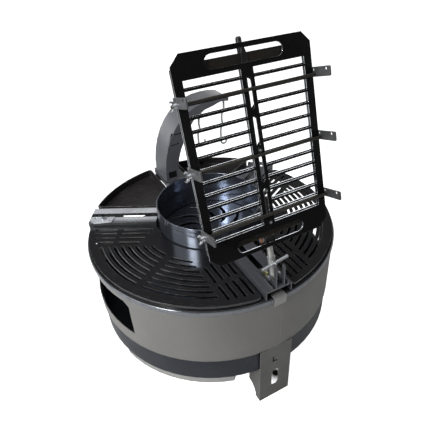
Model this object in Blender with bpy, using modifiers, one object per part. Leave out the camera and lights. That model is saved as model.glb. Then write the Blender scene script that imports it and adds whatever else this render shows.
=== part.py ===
"""Fire pit grill: a round steel pit on three legs, with a fire tube in the middle, cooking plates
laid between four radial rails, a hook arm and a clamped grill basket on a leaning mast."""

import math

import bmesh
import bpy
from mathutils import Matrix, Vector

# Everything is in metres, +Z up, with the ground at z = 0 and the pit's axis at x = y = 0.
MM = 0.001
GAP = 0.3 * MM  # clearance between two pieces that seat on each other
SEGMENTS = 72  # facets of a full turn on the large round shells
SMALL_SEGMENTS = 16  # facets of rods, bolts and bores

# Driving sizes of the pit
BAND_RADIUS = 300 * MM
BAND_WALL = 2 * MM
BAND_BOTTOM = 184 * MM
BAND_TOP = 337 * MM
PAN_WALL = 2 * MM
PAN_BOTTOM = 116 * MM
PAN_TOP = 204 * MM
PAN_ASH_HOLE = 95 * MM
WINDOW_BOTTOM = 217 * MM
WINDOW_TOP = 315 * MM
WINDOW_SPAN = 55.0  # degrees along the band
WINDOW_CENTRES = (35.9, 120.8, 205.7)
WINDOW_CHAMFER = 12 * MM
RIM_WIDTH = 18 * MM
RIM_THICK = 3.7 * MM
RIM_LIP = 12 * MM
RIM_LIP_WALL = 2.2 * MM
TUBE_RADIUS = 127 * MM
TUBE_WALL = 2.5 * MM
TUBE_TOP = 406 * MM
COLLAR_WIDTH = 22 * MM
COLLAR_THICK = 3.7 * MM

# Legs
LEG_ANGLES = {"leg_front": 296.0, "leg_rear_right": 78.0, "leg_rear_left": 163.0}
LEG_WIDTH = 83 * MM
LEG_SHEET = 2.5 * MM
LEG_DEPTH = 48 * MM
LEG_SLOT_WIDTH = 19 * MM
LEG_SLOT_LENGTH = 60 * MM
LEG_SLOT_CENTRE = 70 * MM
LEG_FOOT_DEPTH = 16 * MM
LEG_FOOT_RISE = 34 * MM
LEG_HOOK = ((-9 * MM, 130 * MM), (5 * MM, 130 * MM), (5 * MM, 136 * MM), (-4 * MM, 136 * MM),
            (-4 * MM, 151 * MM), (-9 * MM, 151 * MM))  # the L shaped hole above the slot

# Rails and the plates between them
RAIL_ANGLES = {"rail_front": 296.0, "rail_rear": 56.0, "rail_arm": 116.0, "rail_left": 176.0}
RAIL_HALF_WIDTH = 31 * MM
RAIL_HEIGHT = 21.2 * MM
RAIL_SHEET = 2.5 * MM
RAIL_START = TUBE_RADIUS + 3 * MM
RAIL_END = BAND_RADIUS - 1.5 * MM
RAIL_SLOT_WIDTH = 14 * MM
RAIL_SLOT_START = RAIL_START + 13 * MM
RAIL_SLOT_END = RAIL_END - 13.5 * MM
CLIP_WIDTH = 28 * MM
CLIP_DROP = 20 * MM
CLIP_SHEET = 2.5 * MM
CLIP_TONGUE = 18 * MM
END_PLATE_SHEET = 2 * MM
END_PLATE_INSET = 2.5 * MM  # from the rail's end
END_PLATE_SHAPE = ((-61 * MM, 9 * MM), (-55 * MM, 31 * MM), (-14 * MM, 36 * MM), (-3 * MM, 27 * MM),
                   (0, 8 * MM))  # from the plate's end and the rail's middle
END_PLATE_HOLES = ((-50 * MM, 24 * MM, 2.2 * MM), (-8 * MM, 27 * MM, 2.2 * MM),
                   (-13 * MM, 15 * MM, 3.4 * MM))  # place and radius
END_BOLT_PLACE = (RAIL_END - 36.5 * MM, 19 * MM)
REAR_LUG_PLACE = RAIL_END - 76.5 * MM
REAR_LUG_WIDTH = 24 * MM
REAR_LUG_HEIGHT = 36 * MM
REAR_LUG_HOLE = (24 * MM, 3.2 * MM)  # height and radius
REAR_LUG_FOOT = 26 * MM

PLATE_SHEET = 3 * MM
PLATE_HEIGHT = 9.7 * MM
PLATE_OUTER_RADIUS = BAND_RADIUS - 3 * MM
PLATE_INNER_RADIUS = TUBE_RADIUS + 3.5 * MM
PLATE_RAIL_OFFSET = 36 * MM
PLATE_CORNER = 9 * MM
GRIDDLE_WALL_HEIGHT = 23 * MM
GRIDDLE_WALL = 3 * MM
GRIDDLE_ARM_OFFSET = 44 * MM
GRIDDLE_REAR_OFFSET = 50 * MM
SLOT_WIDTH = 6.5 * MM
ROW_PITCH = 16.5 * MM
ROW_COUNT = 4
ROW_FIRST = 46 * MM
ROW_START = 133 * MM  # where the first row begins, and how much later each next one does
ROW_STEP = 9 * MM
ROW_SPLIT = (PLATE_INNER_RADIUS + PLATE_OUTER_RADIUS) / 2 + 3.25 * MM
ROW_BRIDGE = 10 * MM
ARC_FIRST = PLATE_INNER_RADIUS + 39.5 * MM
ARC_LAST = PLATE_OUTER_RADIUS - 24.8 * MM
ARC_COUNT = 8
WEB_HALF = 5 * MM

# Swirl grate inside the tube
SWIRL_RADIUS = TUBE_RADIUS - TUBE_WALL - 2.5 * MM
SWIRL_SHEET = 4 * MM
SWIRL_LEVEL = 316 * MM
SWIRL_SLOTS = 10
SWIRL_INNER = 34 * MM
SWIRL_OUTER = SWIRL_RADIUS - 14 * MM
SWIRL_TWIST = 48.0  # degrees that a slot turns on its way out
SWIRL_SLOT_WIDTH = 13 * MM
LUG_SIZE = 10 * MM

# Ash tray under the pan
TRAY_ANGLE = 249.4
TRAY_HALF_WIDTH = 135 * MM
TRAY_RADIUS = BAND_RADIUS - 7 * MM
TRAY_REACH = 150 * MM  # how far the tray goes in behind the pit's axis
TRAY_HEIGHT = 19 * MM
TRAY_SHEET = 1.5 * MM
RUNNER_WIDTH = 12 * MM
RUNNER_SHEET = 2 * MM

# Hook arm: it stands on a slider on its rail and arches sideways
ARM_CENTRE_R = RAIL_END - 63.5 * MM
ARM_CENTRE_B = -15.5 * MM
ARM_BACK_B = -33 * MM
ARM_WIDTH = 80 * MM
ARM_SHEET = 2.5 * MM
ARM_SOLE = 3 * MM
ARM_RISE = 203.5 * MM
ARM_REACH = 158.5 * MM
ARM_TAIL = 47 * MM
ARM_TAIL_DROOP = 5 * MM
ARM_BASE_DEPTH = 36 * MM
ARM_MID_DEPTH = 42 * MM
ARM_TIP_DEPTH = 9 * MM
ARM_POWER = 2.2  # squareness of the arch
ARM_SLOT_SIZE = (26 * MM, 4 * MM)
ARM_SLOT_PLACES = ((-8 * MM, 102 * MM), (4 * MM, 130 * MM))
ARM_WINDOW = (-24 * MM, 0 * MM, 6 * MM, 27 * MM)
ARM_SLIDER = (46 * MM, 86 * MM, 3 * MM)
HOOK_WIRE = 2.9 * MM
HOOK_BEND = 9 * MM
HOOK_RADIUS = ARM_CENTRE_R - 28 * MM  # from the pit's axis to the hooks
HOOK_TURN = 11 * MM
HOOK_HOLE = 5.6 * MM  # radius of the hole that it hangs in
HOOK_JOGS = ((0, 0.28), (6 * MM, 0.37), (7.5 * MM, 0.46), (6 * MM, 0.58), (11.5 * MM, 0.68),
             (12 * MM, 0.82))  # how far the wire steps back, and how far down its length
HOOKS = {"hook_inner": (124 * MM, 128 * MM), "hook_outer": (195 * MM, 142 * MM)}  # place, length

# Mast with its slider, yoke and clamp
MAST_RADIUS = 5 * MM
MAST_SLEEVE_RADIUS = 6.2 * MM
MAST_SLEEVE_TOP = 74 * MM
MAST_TILT = 16.4  # degrees that the mast leans in over the pit
SLIDER_END = BAND_RADIUS + 1 * MM
MAST_PIVOT_R = SLIDER_END - 22.2 * MM
MAST_PIVOT_Z = 377 * MM
MAST_LENGTH = 429.5 * MM
SOCKET_RADIUS = 8 * MM
SOCKET_TOP = 44.3 * MM  # measured along the mast from its pivot
SOCKET_FLOOR = 12.8 * MM
SOCKET_BOTTOM = 7.2 * MM
SCREW_HEIGHT = 34.2 * MM
SCREW_RADIUS = 3 * MM
HANDLE_OUT = 11.6 * MM
HANDLE_LENGTH = 58 * MM
HANDLE_TURN = 8.0  # degrees that the cross handle stands turned
HANDLE_RADIUS = 2.9 * MM
SLIDER_START = SLIDER_END - 65 * MM
SLIDER_HALF_WIDTH = 20 * MM
SLIDER_SHEET = 3.2 * MM
SLIDER_FLANGE = 11 * MM
YOKE_SHEET = 2 * MM
YOKE_TOP = 418 * MM
YOKE_HORN = 8.5 * MM
PIN_RADIUS = 3 * MM
WING_STUD_R = SLIDER_END - 44 * MM
WING_STUD_RISE = 20 * MM

# Grill basket, measured along the mast from its pivot
GRID_WIDTH = 261 * MM
GRID_SHEET = 2 * MM
GRID_SIDE = 16 * MM
GRID_SPINE = 24 * MM
GRID_BAR = 4.2 * MM
GRID_PITCH = 21.9 * MM
GRID_BARS = 13
GRID_FIRST_BAR = 116.3 * MM
FRONT_BOTTOM = 72.3 * MM
FRONT_TOP = 433.3 * MM
FRONT_END_STRIP = 40 * MM
FRONT_OUT = 11.5 * MM
REAR_BOTTOM = 92 * MM
REAR_TOP = 417.5 * MM
REAR_OUT = 6.2 * MM
REAR_LIFT = 1.6 * MM  # how much higher its bars lie than the front grid's
GRID_CHAMFER = 17 * MM
HANDLE_SLOT = 146 * MM
HANDLE_SLOT_WIDTH = 23 * MM
SPINE_SLOT_WIDTH = 8 * MM
REAR_SLOT_WIDTH = 16 * MM  # its spine is two thin bars, so light shows past the mast
SPINE_SLOTS = 4
SPINE_SLOT_BARS = 2.45  # length of a spine slot, in bar pitches
SPINE_PITCH_BARS = 2.92  # from one spine slot to the next, in bar pitches
ROD_RADIUS = 3 * MM
ROD_LEVELS = (360 * MM, 248.5 * MM, 136.5 * MM)
ROD_LEFT_END = 12 * MM  # how far a clamp rod stands out past the grids
ROD_RIGHT_END = 13.5 * MM
EAR_SHEET = 2.5 * MM
EAR_HEIGHT = 17 * MM
EAR_OUT = 58 * MM
EAR_LIFT = 3.8 * MM  # its middle above the clamp rod
EAR_HOLES = ((47 * MM, 8 * MM, 2.8 * MM), (14.5 * MM, 7.6 * MM, 2.2 * MM))  # out, above the rod, radius
COLLAR_LEVEL = 77.5 * MM
GUIDE_LEVEL = 395 * MM
STRAP_HEIGHT = 30 * MM
COLLAR_HEIGHT = 14 * MM
WING_SPAN = 22 * MM
WING_HEIGHT = 12 * MM
WING_SHEET = 2 * MM
WING_HUB = (5.5 * MM, 4.4 * MM, 6 * MM)  # radius at its foot and top, and height

# Colours, roughness and metallic value of each finish
FINISHES = {
    "band_paint": ((0.165, 0.162, 0.150, 1.0), 0.55, 0.35),
    "dark_enamel": ((0.030, 0.034, 0.042, 1.0), 0.45, 0.40),
    "black_steel": ((0.016, 0.015, 0.015, 1.0), 0.50, 0.40),
    "griddle_steel": ((0.034, 0.030, 0.031, 1.0), 0.60, 0.35),
    "arm_paint": ((0.120, 0.122, 0.138, 1.0), 0.50, 0.35),
    "zinc": ((0.480, 0.500, 0.520, 1.0), 0.32, 0.90),
    "yellow_zinc": ((0.560, 0.520, 0.180, 1.0), 0.35, 0.85),
    "copper": ((0.520, 0.240, 0.130, 1.0), 0.40, 0.85),
}

RIM_TOP = BAND_TOP + GAP + RIM_THICK
DECK = RIM_TOP + GAP  # the level on which the rails and plates stand
RAIL_TOP = DECK + RAIL_HEIGHT
SLIDE_LEVEL = RAIL_TOP + GAP  # underside of what slides on a rail


def clear_scene():
    for old in list(bpy.data.objects):
        bpy.data.objects.remove(old, do_unlink=True)
    for old in list(bpy.data.collections):
        bpy.data.collections.remove(old)


clear_scene()
PARTS = bpy.data.collections.new("fire_pit_grill")
CUTTERS = bpy.data.collections.new("cutters")
bpy.context.scene.collection.children.link(PARTS)
bpy.context.scene.collection.children.link(CUTTERS)


def make_materials():
    made = {}
    for name, (colour, roughness, metallic) in FINISHES.items():
        material = bpy.data.materials.new(name)
        material.use_nodes = True
        shader = material.node_tree.nodes["Principled BSDF"]
        shader.inputs["Base Color"].default_value = colour
        shader.inputs["Roughness"].default_value = roughness
        shader.inputs["Metallic"].default_value = metallic
        material.diffuse_color = colour
        made[name] = material
    return made


MATERIALS = make_materials()


# Frames: a rail's frame has X outwards along the rail, Y to its left and Z up
def polar_frame(degrees):
    return Matrix.Rotation(math.radians(degrees), 4, "Z")


def upright_frame(degrees, distance):
    """X along the tangent, Y up and Z outwards, at a distance from the pit's axis."""
    turn = Matrix(((0, 0, 1, 0), (1, 0, 0, 0), (0, 1, 0, 0), (0, 0, 0, 1)))
    return polar_frame(degrees) @ Matrix.Translation((distance, 0, 0)) @ turn


def side_frame(degrees, offset=0.0):
    """X outwards along the rail, Y up and Z across the rail, at an offset from its middle."""
    turn = Matrix(((1, 0, 0, 0), (0, 0, -1, 0), (0, 1, 0, 0), (0, 0, 0, 1)))
    return polar_frame(degrees) @ Matrix.Translation((0, offset, 0)) @ turn


def mast_frame():
    """X across the basket, Y up along the mast and Z out of the pit, from the mast's pivot."""
    lean = math.radians(MAST_TILT)
    across = Vector((0.0, 1.0, 0.0))
    along = Vector((-math.sin(lean), 0.0, math.cos(lean)))
    out = across.cross(along)
    turn = Matrix((across, along, out)).transposed().to_4x4()
    front = polar_frame(RAIL_ANGLES["rail_front"])
    return front @ Matrix.Translation((MAST_PIVOT_R, 0, MAST_PIVOT_Z)) @ turn


# Makers of closed meshes
def new_object(name, mesh, material):
    made = bpy.data.objects.new(name, mesh)
    PARTS.objects.link(made)
    if material:
        mesh.materials.clear()
        mesh.materials.append(MATERIALS[material])
    return made


def plate(name, outline, holes, low, high, material=None, frame=None):
    """A flat outline with holes, filled between two levels of its own Z axis."""
    curve = bpy.data.curves.new(name, "CURVE")
    curve.dimensions = "2D"
    curve.fill_mode = "BOTH"
    curve.extrude = (high - low) / 2
    for ring in [outline, *holes]:
        spline = curve.splines.new("POLY")
        spline.points.add(len(ring) - 1)
        for point, (x, y) in zip(spline.points, ring):
            point.co = (x, y, 0.0, 1.0)
        spline.use_cyclic_u = True
    drawn = bpy.data.objects.new(name + "_curve", curve)
    bpy.context.scene.collection.objects.link(drawn)
    bpy.context.view_layer.update()
    evaluated = drawn.evaluated_get(bpy.context.evaluated_depsgraph_get())
    mesh = bpy.data.meshes.new_from_object(evaluated)
    bpy.data.objects.remove(drawn)
    mesh.transform(Matrix.Translation((0, 0, (low + high) / 2)))
    weld(mesh)
    mesh.transform(frame or Matrix.Identity(4))
    return new_object(name, mesh, material)


def weld(mesh):
    grid = bmesh.new()
    grid.from_mesh(mesh)
    bmesh.ops.remove_doubles(grid, verts=grid.verts, dist=0.00001)
    bmesh.ops.recalc_face_normals(grid, faces=grid.faces)
    grid.to_mesh(mesh)
    grid.free()


def box(name, low, high, material=None, frame=None):
    mesh = bpy.data.meshes.new(name)
    grid = bmesh.new()
    bmesh.ops.create_cube(grid, size=1.0)
    grid.to_mesh(mesh)
    grid.free()
    size = [b - a for a, b in zip(low, high)]
    centre = [(a + b) / 2 for a, b in zip(low, high)]
    mesh.transform(Matrix.Translation(centre) @ Matrix.Diagonal((*size, 1.0)))
    mesh.transform(frame or Matrix.Identity(4))
    return new_object(name, mesh, material)


def rod(name, start, end, radius, material=None, frame=None, sides=SMALL_SEGMENTS, end_radius=None):
    """A round rod, cone or polygonal bar between two points."""
    start = Vector(start)
    end = Vector(end)
    mesh = bpy.data.meshes.new(name)
    grid = bmesh.new()
    last = radius if end_radius is None else end_radius
    length = (end - start).length
    bmesh.ops.create_cone(grid, cap_ends=True, segments=sides, radius1=radius, radius2=last,
                          depth=length)
    grid.to_mesh(mesh)
    grid.free()
    turn = (end - start).to_track_quat("Z", "Y").to_matrix().to_4x4()
    mesh.transform(Matrix.Translation((start + end) / 2) @ turn)
    mesh.transform(frame or Matrix.Identity(4))
    return new_object(name, mesh, material)


def turned(name, profile, material, segments=SEGMENTS):
    """A ring turned about Z: the profile's points run down its outer side and back up inside."""
    mesh = bpy.data.meshes.new(name)
    grid = bmesh.new()
    corners = [grid.verts.new((radius, 0.0, z)) for radius, z in profile]
    for first, second in zip(corners, corners[1:] + corners[:1]):
        grid.edges.new((first, second))
    grid.to_mesh(mesh)
    grid.free()
    made = new_object(name, mesh, material)
    screw = made.modifiers.new("turn", "SCREW")
    screw.angle = math.tau
    screw.steps = segments
    screw.render_steps = segments
    screw.use_merge_vertices = True
    screw.merge_threshold = 0.00001
    return made


def wire(name, points, radius, material, frame=None):
    """A bent wire along its points."""
    curve = bpy.data.curves.new(name, "CURVE")
    curve.dimensions = "3D"
    curve.bevel_depth = radius
    curve.bevel_resolution = 2
    curve.use_fill_caps = True
    spline = curve.splines.new("POLY")
    spline.points.add(len(points) - 1)
    for point, place in zip(spline.points, points):
        point.co = (*place, 1.0)
    drawn = bpy.data.objects.new(name + "_curve", curve)
    bpy.context.scene.collection.objects.link(drawn)
    bpy.context.view_layer.update()
    evaluated = drawn.evaluated_get(bpy.context.evaluated_depsgraph_get())
    mesh = bpy.data.meshes.new_from_object(evaluated)
    bpy.data.objects.remove(drawn)
    weld(mesh)
    mesh.transform(frame or Matrix.Identity(4))
    return new_object(name, mesh, material)


def combine(target, other, operation):
    """Join or cut with another object, which is then kept as a hidden cutter."""
    for collection in list(other.users_collection):
        collection.objects.unlink(other)
    CUTTERS.objects.link(other)
    other.hide_render = True
    other.display_type = "WIRE"
    step = target.modifiers.new(operation.lower(), "BOOLEAN")
    step.operation = operation
    step.solver = "EXACT"
    step.object = other


def union(target, *others):
    for other in others:
        combine(target, other, "UNION")
    return target


def cut(target, *others):
    for other in others:
        combine(target, other, "DIFFERENCE")
    return target


def pivot(name, place):
    """An empty on a joint's axis, which the moving pieces hang from."""
    made = bpy.data.objects.new(name, None)
    made.empty_display_size = 0.02
    made.location = place
    PARTS.objects.link(made)
    return made


def hang(parent, *pieces):
    bpy.context.view_layer.update()
    for piece in pieces:
        piece.parent = parent
        piece.matrix_parent_inverse = parent.matrix_world.inverted()


# Outlines
def arc(radius, start, end, step=5.0, centre=(0.0, 0.0)):
    """Points on an arc, from start to end in degrees."""
    count = max(2, math.ceil(abs(end - start) / step))
    angles = [math.radians(start + (end - start) * i / count) for i in range(count + 1)]
    return [(centre[0] + radius * math.cos(a), centre[1] + radius * math.sin(a)) for a in angles]


def obround(start, end, width, steps=4):
    """A slot with round ends between two points."""
    direction = math.degrees(math.atan2(end[1] - start[1], end[0] - start[0]))
    turn = 180.0 / steps
    first = arc(width / 2, direction - 90, direction + 90, turn, end)
    second = arc(width / 2, direction + 90, direction + 270, turn, start)
    return first + second


def round_corners(points, corners, reach, steps=3):
    """Replace the chosen corners by smooth curves that start a reach away from each."""
    out = []
    for index, corner in enumerate(points):
        if index not in corners:
            out.append(corner)
            continue
        here = Vector(corner)
        before = Vector(points[index - 1])
        after = Vector(points[(index + 1) % len(points)])
        start = here + (before - here).normalized() * reach
        end = here + (after - here).normalized() * reach
        for i in range(steps + 1):
            t = i / steps
            spot = start * (1 - t) ** 2 + here * 2 * t * (1 - t) + end * t ** 2
            out.append((spot.x, spot.y))
    return out


def rectangle(x_low, x_high, y_low, y_high):
    return [(x_low, y_low), (x_high, y_low), (x_high, y_high), (x_low, y_high)]


def sector(inner, outer, low_offset, high_offset, half_angle=30.0, corner=PLATE_CORNER):
    """A plate's outline between two rails at plus and minus the half angle from its X axis.

    Its straight sides run parallel to the rails, at their own distances from the rails' middles."""
    low = -half_angle + math.degrees(math.asin(low_offset / outer))
    high = half_angle - math.degrees(math.asin(high_offset / outer))
    low_in = -half_angle + math.degrees(math.asin(low_offset / inner))
    high_in = half_angle - math.degrees(math.asin(high_offset / inner))
    outside = arc(outer, low, high)
    inside = arc(inner, high_in, low_in)
    ring = outside + inside
    ends = (0, len(outside) - 1, len(outside), len(ring) - 1)
    return round_corners(ring, ends, corner)


# The pit
def build_band():
    inner = BAND_RADIUS - BAND_WALL
    band = turned("outer_band", [(BAND_RADIUS, BAND_TOP), (BAND_RADIUS, BAND_BOTTOM),
                                 (inner, BAND_BOTTOM), (inner, BAND_TOP)], "band_paint")
    half = BAND_RADIUS * math.sin(math.radians(WINDOW_SPAN / 2))
    shape = [(-half, WINDOW_BOTTOM), (half, WINDOW_BOTTOM), (half, WINDOW_TOP - WINDOW_CHAMFER),
             (half - WINDOW_CHAMFER, WINDOW_TOP), (WINDOW_CHAMFER - half, WINDOW_TOP),
             (-half, WINDOW_TOP - WINDOW_CHAMFER)]
    depth = BAND_RADIUS * math.cos(math.radians(WINDOW_SPAN / 2)) / 2
    for index, angle in enumerate(WINDOW_CENTRES):
        cutter = plate(f"window_cutter_{index}", shape, [], 0.0, BAND_RADIUS,
                       frame=upright_frame(angle, depth))
        cut(band, cutter)
    return band


def build_pan():
    outer = BAND_RADIUS - BAND_WALL - 0.8 * MM
    inner = outer - PAN_WALL
    floor = PAN_BOTTOM + PAN_WALL
    profile = [(outer, PAN_TOP), (outer, PAN_BOTTOM + 4 * MM), (outer - 4 * MM, PAN_BOTTOM),
               (PAN_ASH_HOLE, PAN_BOTTOM), (PAN_ASH_HOLE, floor), (inner - 3 * MM, floor),
               (inner, floor + 3 * MM), (inner, PAN_TOP)]
    return turned("base_pan", profile, "dark_enamel")


def build_rim():
    lip_inner = BAND_RADIUS + GAP
    lip_outer = lip_inner + RIM_LIP_WALL
    under = BAND_TOP + GAP
    profile = [(lip_outer - 1.2 * MM, RIM_TOP), (lip_outer, RIM_TOP - 1.2 * MM),
               (lip_outer, RIM_TOP - RIM_LIP), (lip_inner, RIM_TOP - RIM_LIP), (lip_inner, under),
               (BAND_RADIUS - RIM_WIDTH, under), (BAND_RADIUS - RIM_WIDTH, RIM_TOP)]
    return turned("rim_ring", profile, "dark_enamel")


def build_tube():
    """The fire tube, with three lugs inside that carry the swirl grate."""
    inner = TUBE_RADIUS - TUBE_WALL
    foot = PAN_BOTTOM + PAN_WALL + GAP
    tube = turned("fire_tube", [(TUBE_RADIUS, TUBE_TOP), (TUBE_RADIUS, foot), (inner, foot),
                                (inner, TUBE_TOP)], "dark_enamel", 60)
    lug_start = SWIRL_RADIUS - 6 * MM
    lug_end = inner + TUBE_WALL / 2
    for index in range(3):
        union(tube, box(f"grate_lug_{index}",
                        (lug_start, -LUG_SIZE / 2, SWIRL_LEVEL - GAP - LUG_SIZE),
                        (lug_end, LUG_SIZE / 2, SWIRL_LEVEL - GAP),
                        frame=polar_frame(30 + 120 * index)))
    return tube


def build_collar():
    inner = TUBE_RADIUS + GAP
    outer = inner + COLLAR_WIDTH
    return turned("tube_collar", [(outer, RIM_TOP), (outer, RIM_TOP - COLLAR_THICK),
                                  (inner, RIM_TOP - COLLAR_THICK), (inner, RIM_TOP)],
                  "dark_enamel", 60)


def build_leg(name, angle):
    """A folded leg: a slotted face outside the pan, two side flanges and a foot."""
    face_in = BAND_RADIUS - LEG_SHEET
    half = LEG_WIDTH / 2
    top = BAND_BOTTOM - GAP
    seat = PAN_BOTTOM - GAP
    outline = rectangle(-half, half, 0.1 * MM, top)
    slot_low = LEG_SLOT_CENTRE - LEG_SLOT_LENGTH / 2
    slot_high = LEG_SLOT_CENTRE + LEG_SLOT_LENGTH / 2
    side = LEG_SLOT_WIDTH / 2
    point = side * 0.8
    slot = [(-side, slot_low + point), (-side / 2, slot_low), (side / 2, slot_low),
            (side, slot_low + point), (side, slot_high - point), (side / 2, slot_high),
            (-side / 2, slot_high), (-side, slot_high - point)]
    leg = plate(name, outline, [slot, LEG_HOOK], 0.0, LEG_SHEET, "band_paint",
                upright_frame(angle, face_in))
    outer = face_in + LEG_SHEET / 2
    inner = BAND_RADIUS - LEG_DEPTH
    foot_in = outer - LEG_FOOT_DEPTH
    curve = [(foot_in - (foot_in - inner) * (1 - math.cos(t)), LEG_FOOT_RISE * math.sin(t))
             for t in [math.radians(a) for a in (0, 22.5, 45, 67.5, 90)]]
    flange = [(outer, 0.2 * MM), (outer, seat)] + [(inner, seat)] + curve[::-1]
    for sign in (-1, 1):
        middle = sign * (half - LEG_SHEET / 2 - 0.2 * MM)
        union(leg, plate(f"{name}_flange_{sign}", flange, [], -LEG_SHEET / 2, LEG_SHEET / 2,
                         frame=side_frame(angle, middle)))
    union(leg, box(f"{name}_foot", (foot_in - 4 * MM, -half + 1 * MM, 0.0),
                   (outer, half - 1 * MM, LEG_SHEET), frame=polar_frame(angle)))
    return leg


def build_swirl():
    """The fire grate: a disc with curved slots that fan out from its middle."""
    holes = []
    steps = 5
    for index in range(SWIRL_SLOTS):
        base = 360.0 * index / SWIRL_SLOTS
        left = []
        right = []
        for i in range(steps + 1):
            t = i / steps
            radius = SWIRL_INNER + (SWIRL_OUTER - SWIRL_INNER) * t
            angle = base + SWIRL_TWIST * t ** 1.2
            width = SWIRL_SLOT_WIDTH * math.sin(math.pi * (0.12 + 0.76 * t))
            half = math.degrees(width / 2 / radius)
            left.append(arc(radius, angle - half, angle, 360)[0])
            right.append(arc(radius, angle + half, angle, 360)[0])
        holes.append(left + right[::-1])
    disc = arc(SWIRL_RADIUS, 0, 354, 6)
    return plate("swirl_grate", disc, holes, SWIRL_LEVEL, SWIRL_LEVEL + SWIRL_SHEET, "dark_enamel")


def build_tray():
    """A shallow ash tray with a round front, which slides out between two runners."""
    half_angle = math.degrees(math.asin(TRAY_HALF_WIDTH / TRAY_RADIUS))
    shape = arc(TRAY_RADIUS, -half_angle, half_angle)
    shape += [(-TRAY_REACH, TRAY_HALF_WIDTH), (-TRAY_REACH, -TRAY_HALF_WIDTH)]
    top = PAN_BOTTOM - GAP
    wall = 2 * MM
    inside = arc(TRAY_RADIUS - wall, 1 - half_angle, half_angle - 1)
    inside += [(wall - TRAY_REACH, TRAY_HALF_WIDTH - wall), (wall - TRAY_REACH, wall - TRAY_HALF_WIDTH)]
    frame = polar_frame(TRAY_ANGLE)
    tray = plate("ash_tray", shape, [], top - TRAY_HEIGHT, top, "dark_enamel", frame)
    hollow = plate("ash_tray_hollow", inside, [], top - TRAY_HEIGHT + TRAY_SHEET, top + 5 * MM,
                   frame=frame)
    return cut(tray, hollow)


def build_runner(name, sign):
    """A folded runner under the pan that carries one side of the tray."""
    top = PAN_BOTTOM - GAP
    shelf = top - TRAY_HEIGHT - GAP
    inner = TRAY_HALF_WIDTH - RUNNER_WIDTH / 2
    wall = TRAY_HALF_WIDTH + 1.0 * MM
    outer = wall + RUNNER_SHEET
    shape = [(inner, shelf - RUNNER_SHEET), (outer, shelf - RUNNER_SHEET), (outer, top),
             (wall, top), (wall, shelf), (inner, shelf)]
    mirrored = [(sign * x, z) for x, z in shape]
    return plate(name, mirrored, [], -TRAY_REACH, TRAY_RADIUS * 0.8, "dark_enamel",
                 upright_frame(TRAY_ANGLE, 0.0))


# Rails
def build_rail(name, angle):
    """A channel, open below, from the tube to the rim, with a long slot in its top."""
    frame = polar_frame(angle)
    top = plate(name, rectangle(RAIL_START, RAIL_END, -RAIL_HALF_WIDTH, RAIL_HALF_WIDTH),
                [obround((RAIL_SLOT_START + RAIL_SLOT_WIDTH / 2, 0),
                         (RAIL_SLOT_END - RAIL_SLOT_WIDTH / 2, 0), RAIL_SLOT_WIDTH)],
                RAIL_TOP - RAIL_SHEET, RAIL_TOP, "zinc", frame)
    for sign in (-1, 1):
        edge = RAIL_HALF_WIDTH - 0.2 * MM
        low = min(sign * edge, sign * (edge - RAIL_SHEET))
        union(top, box(f"{name}_side_{sign}", (RAIL_START + 0.2 * MM, low, DECK),
                       (RAIL_END - 0.2 * MM, low + RAIL_SHEET, RAIL_TOP - RAIL_SHEET / 2),
                       frame=frame))
    return top


def build_clip(name, angle):
    """The clip that hooks a rail's end over the rim."""
    outside = BAND_RADIUS + GAP + RIM_LIP_WALL + GAP
    low = DECK
    shape = [(RAIL_END - CLIP_TONGUE, low), (outside, low), (outside, low - CLIP_DROP),
             (outside + CLIP_SHEET, low - CLIP_DROP), (outside + CLIP_SHEET, low + CLIP_SHEET),
             (RAIL_END - CLIP_TONGUE, low + CLIP_SHEET)]
    return plate(name, shape, [], -CLIP_WIDTH / 2, CLIP_WIDTH / 2, "zinc", side_frame(angle))


def build_end_plate():
    """A holed plate bolted on the outer end of the left rail."""
    end = RAIL_END - END_PLATE_INSET
    shape = [(end + along, side) for along, side in reversed(END_PLATE_SHAPE)]
    holes = [arc(radius, 0, 315, 45, (end + along, side)) for along, side, radius in END_PLATE_HOLES]
    return plate("rail_end_plate", shape, holes, SLIDE_LEVEL, SLIDE_LEVEL + END_PLATE_SHEET, "zinc",
                 polar_frame(RAIL_ANGLES["rail_left"]))


def build_end_bolt():
    frame = polar_frame(RAIL_ANGLES["rail_left"])
    low = SLIDE_LEVEL + END_PLATE_SHEET + GAP
    return rod("rail_end_bolt", (*END_BOLT_PLACE, low), (*END_BOLT_PLACE, low + 4 * MM), 5.5 * MM, "zinc",
               frame, 6)


def build_rear_lug():
    """An upright holed lug on the rear rail, with a folded foot."""
    angle = RAIL_ANGLES["rail_rear"]
    low = SLIDE_LEVEL
    place = REAR_LUG_PLACE
    half = REAR_LUG_WIDTH / 2
    hole = arc(REAR_LUG_HOLE[1], 0, 315, 45, (0.0, low + REAR_LUG_HOLE[0]))
    shape = round_corners(rectangle(-half, half, low, low + REAR_LUG_HEIGHT), (2, 3), 5 * MM)
    lug = plate("rear_rail_lug", shape, [hole], 0.0, 2.5 * MM, "zinc", upright_frame(angle, place))
    foot = box("rear_lug_foot", (place + 1 * MM, -half + 0.3 * MM, low + 0.1 * MM),
               (place + REAR_LUG_FOOT, half - 0.3 * MM, low + 2.5 * MM), frame=polar_frame(angle))
    return union(lug, foot)


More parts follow.
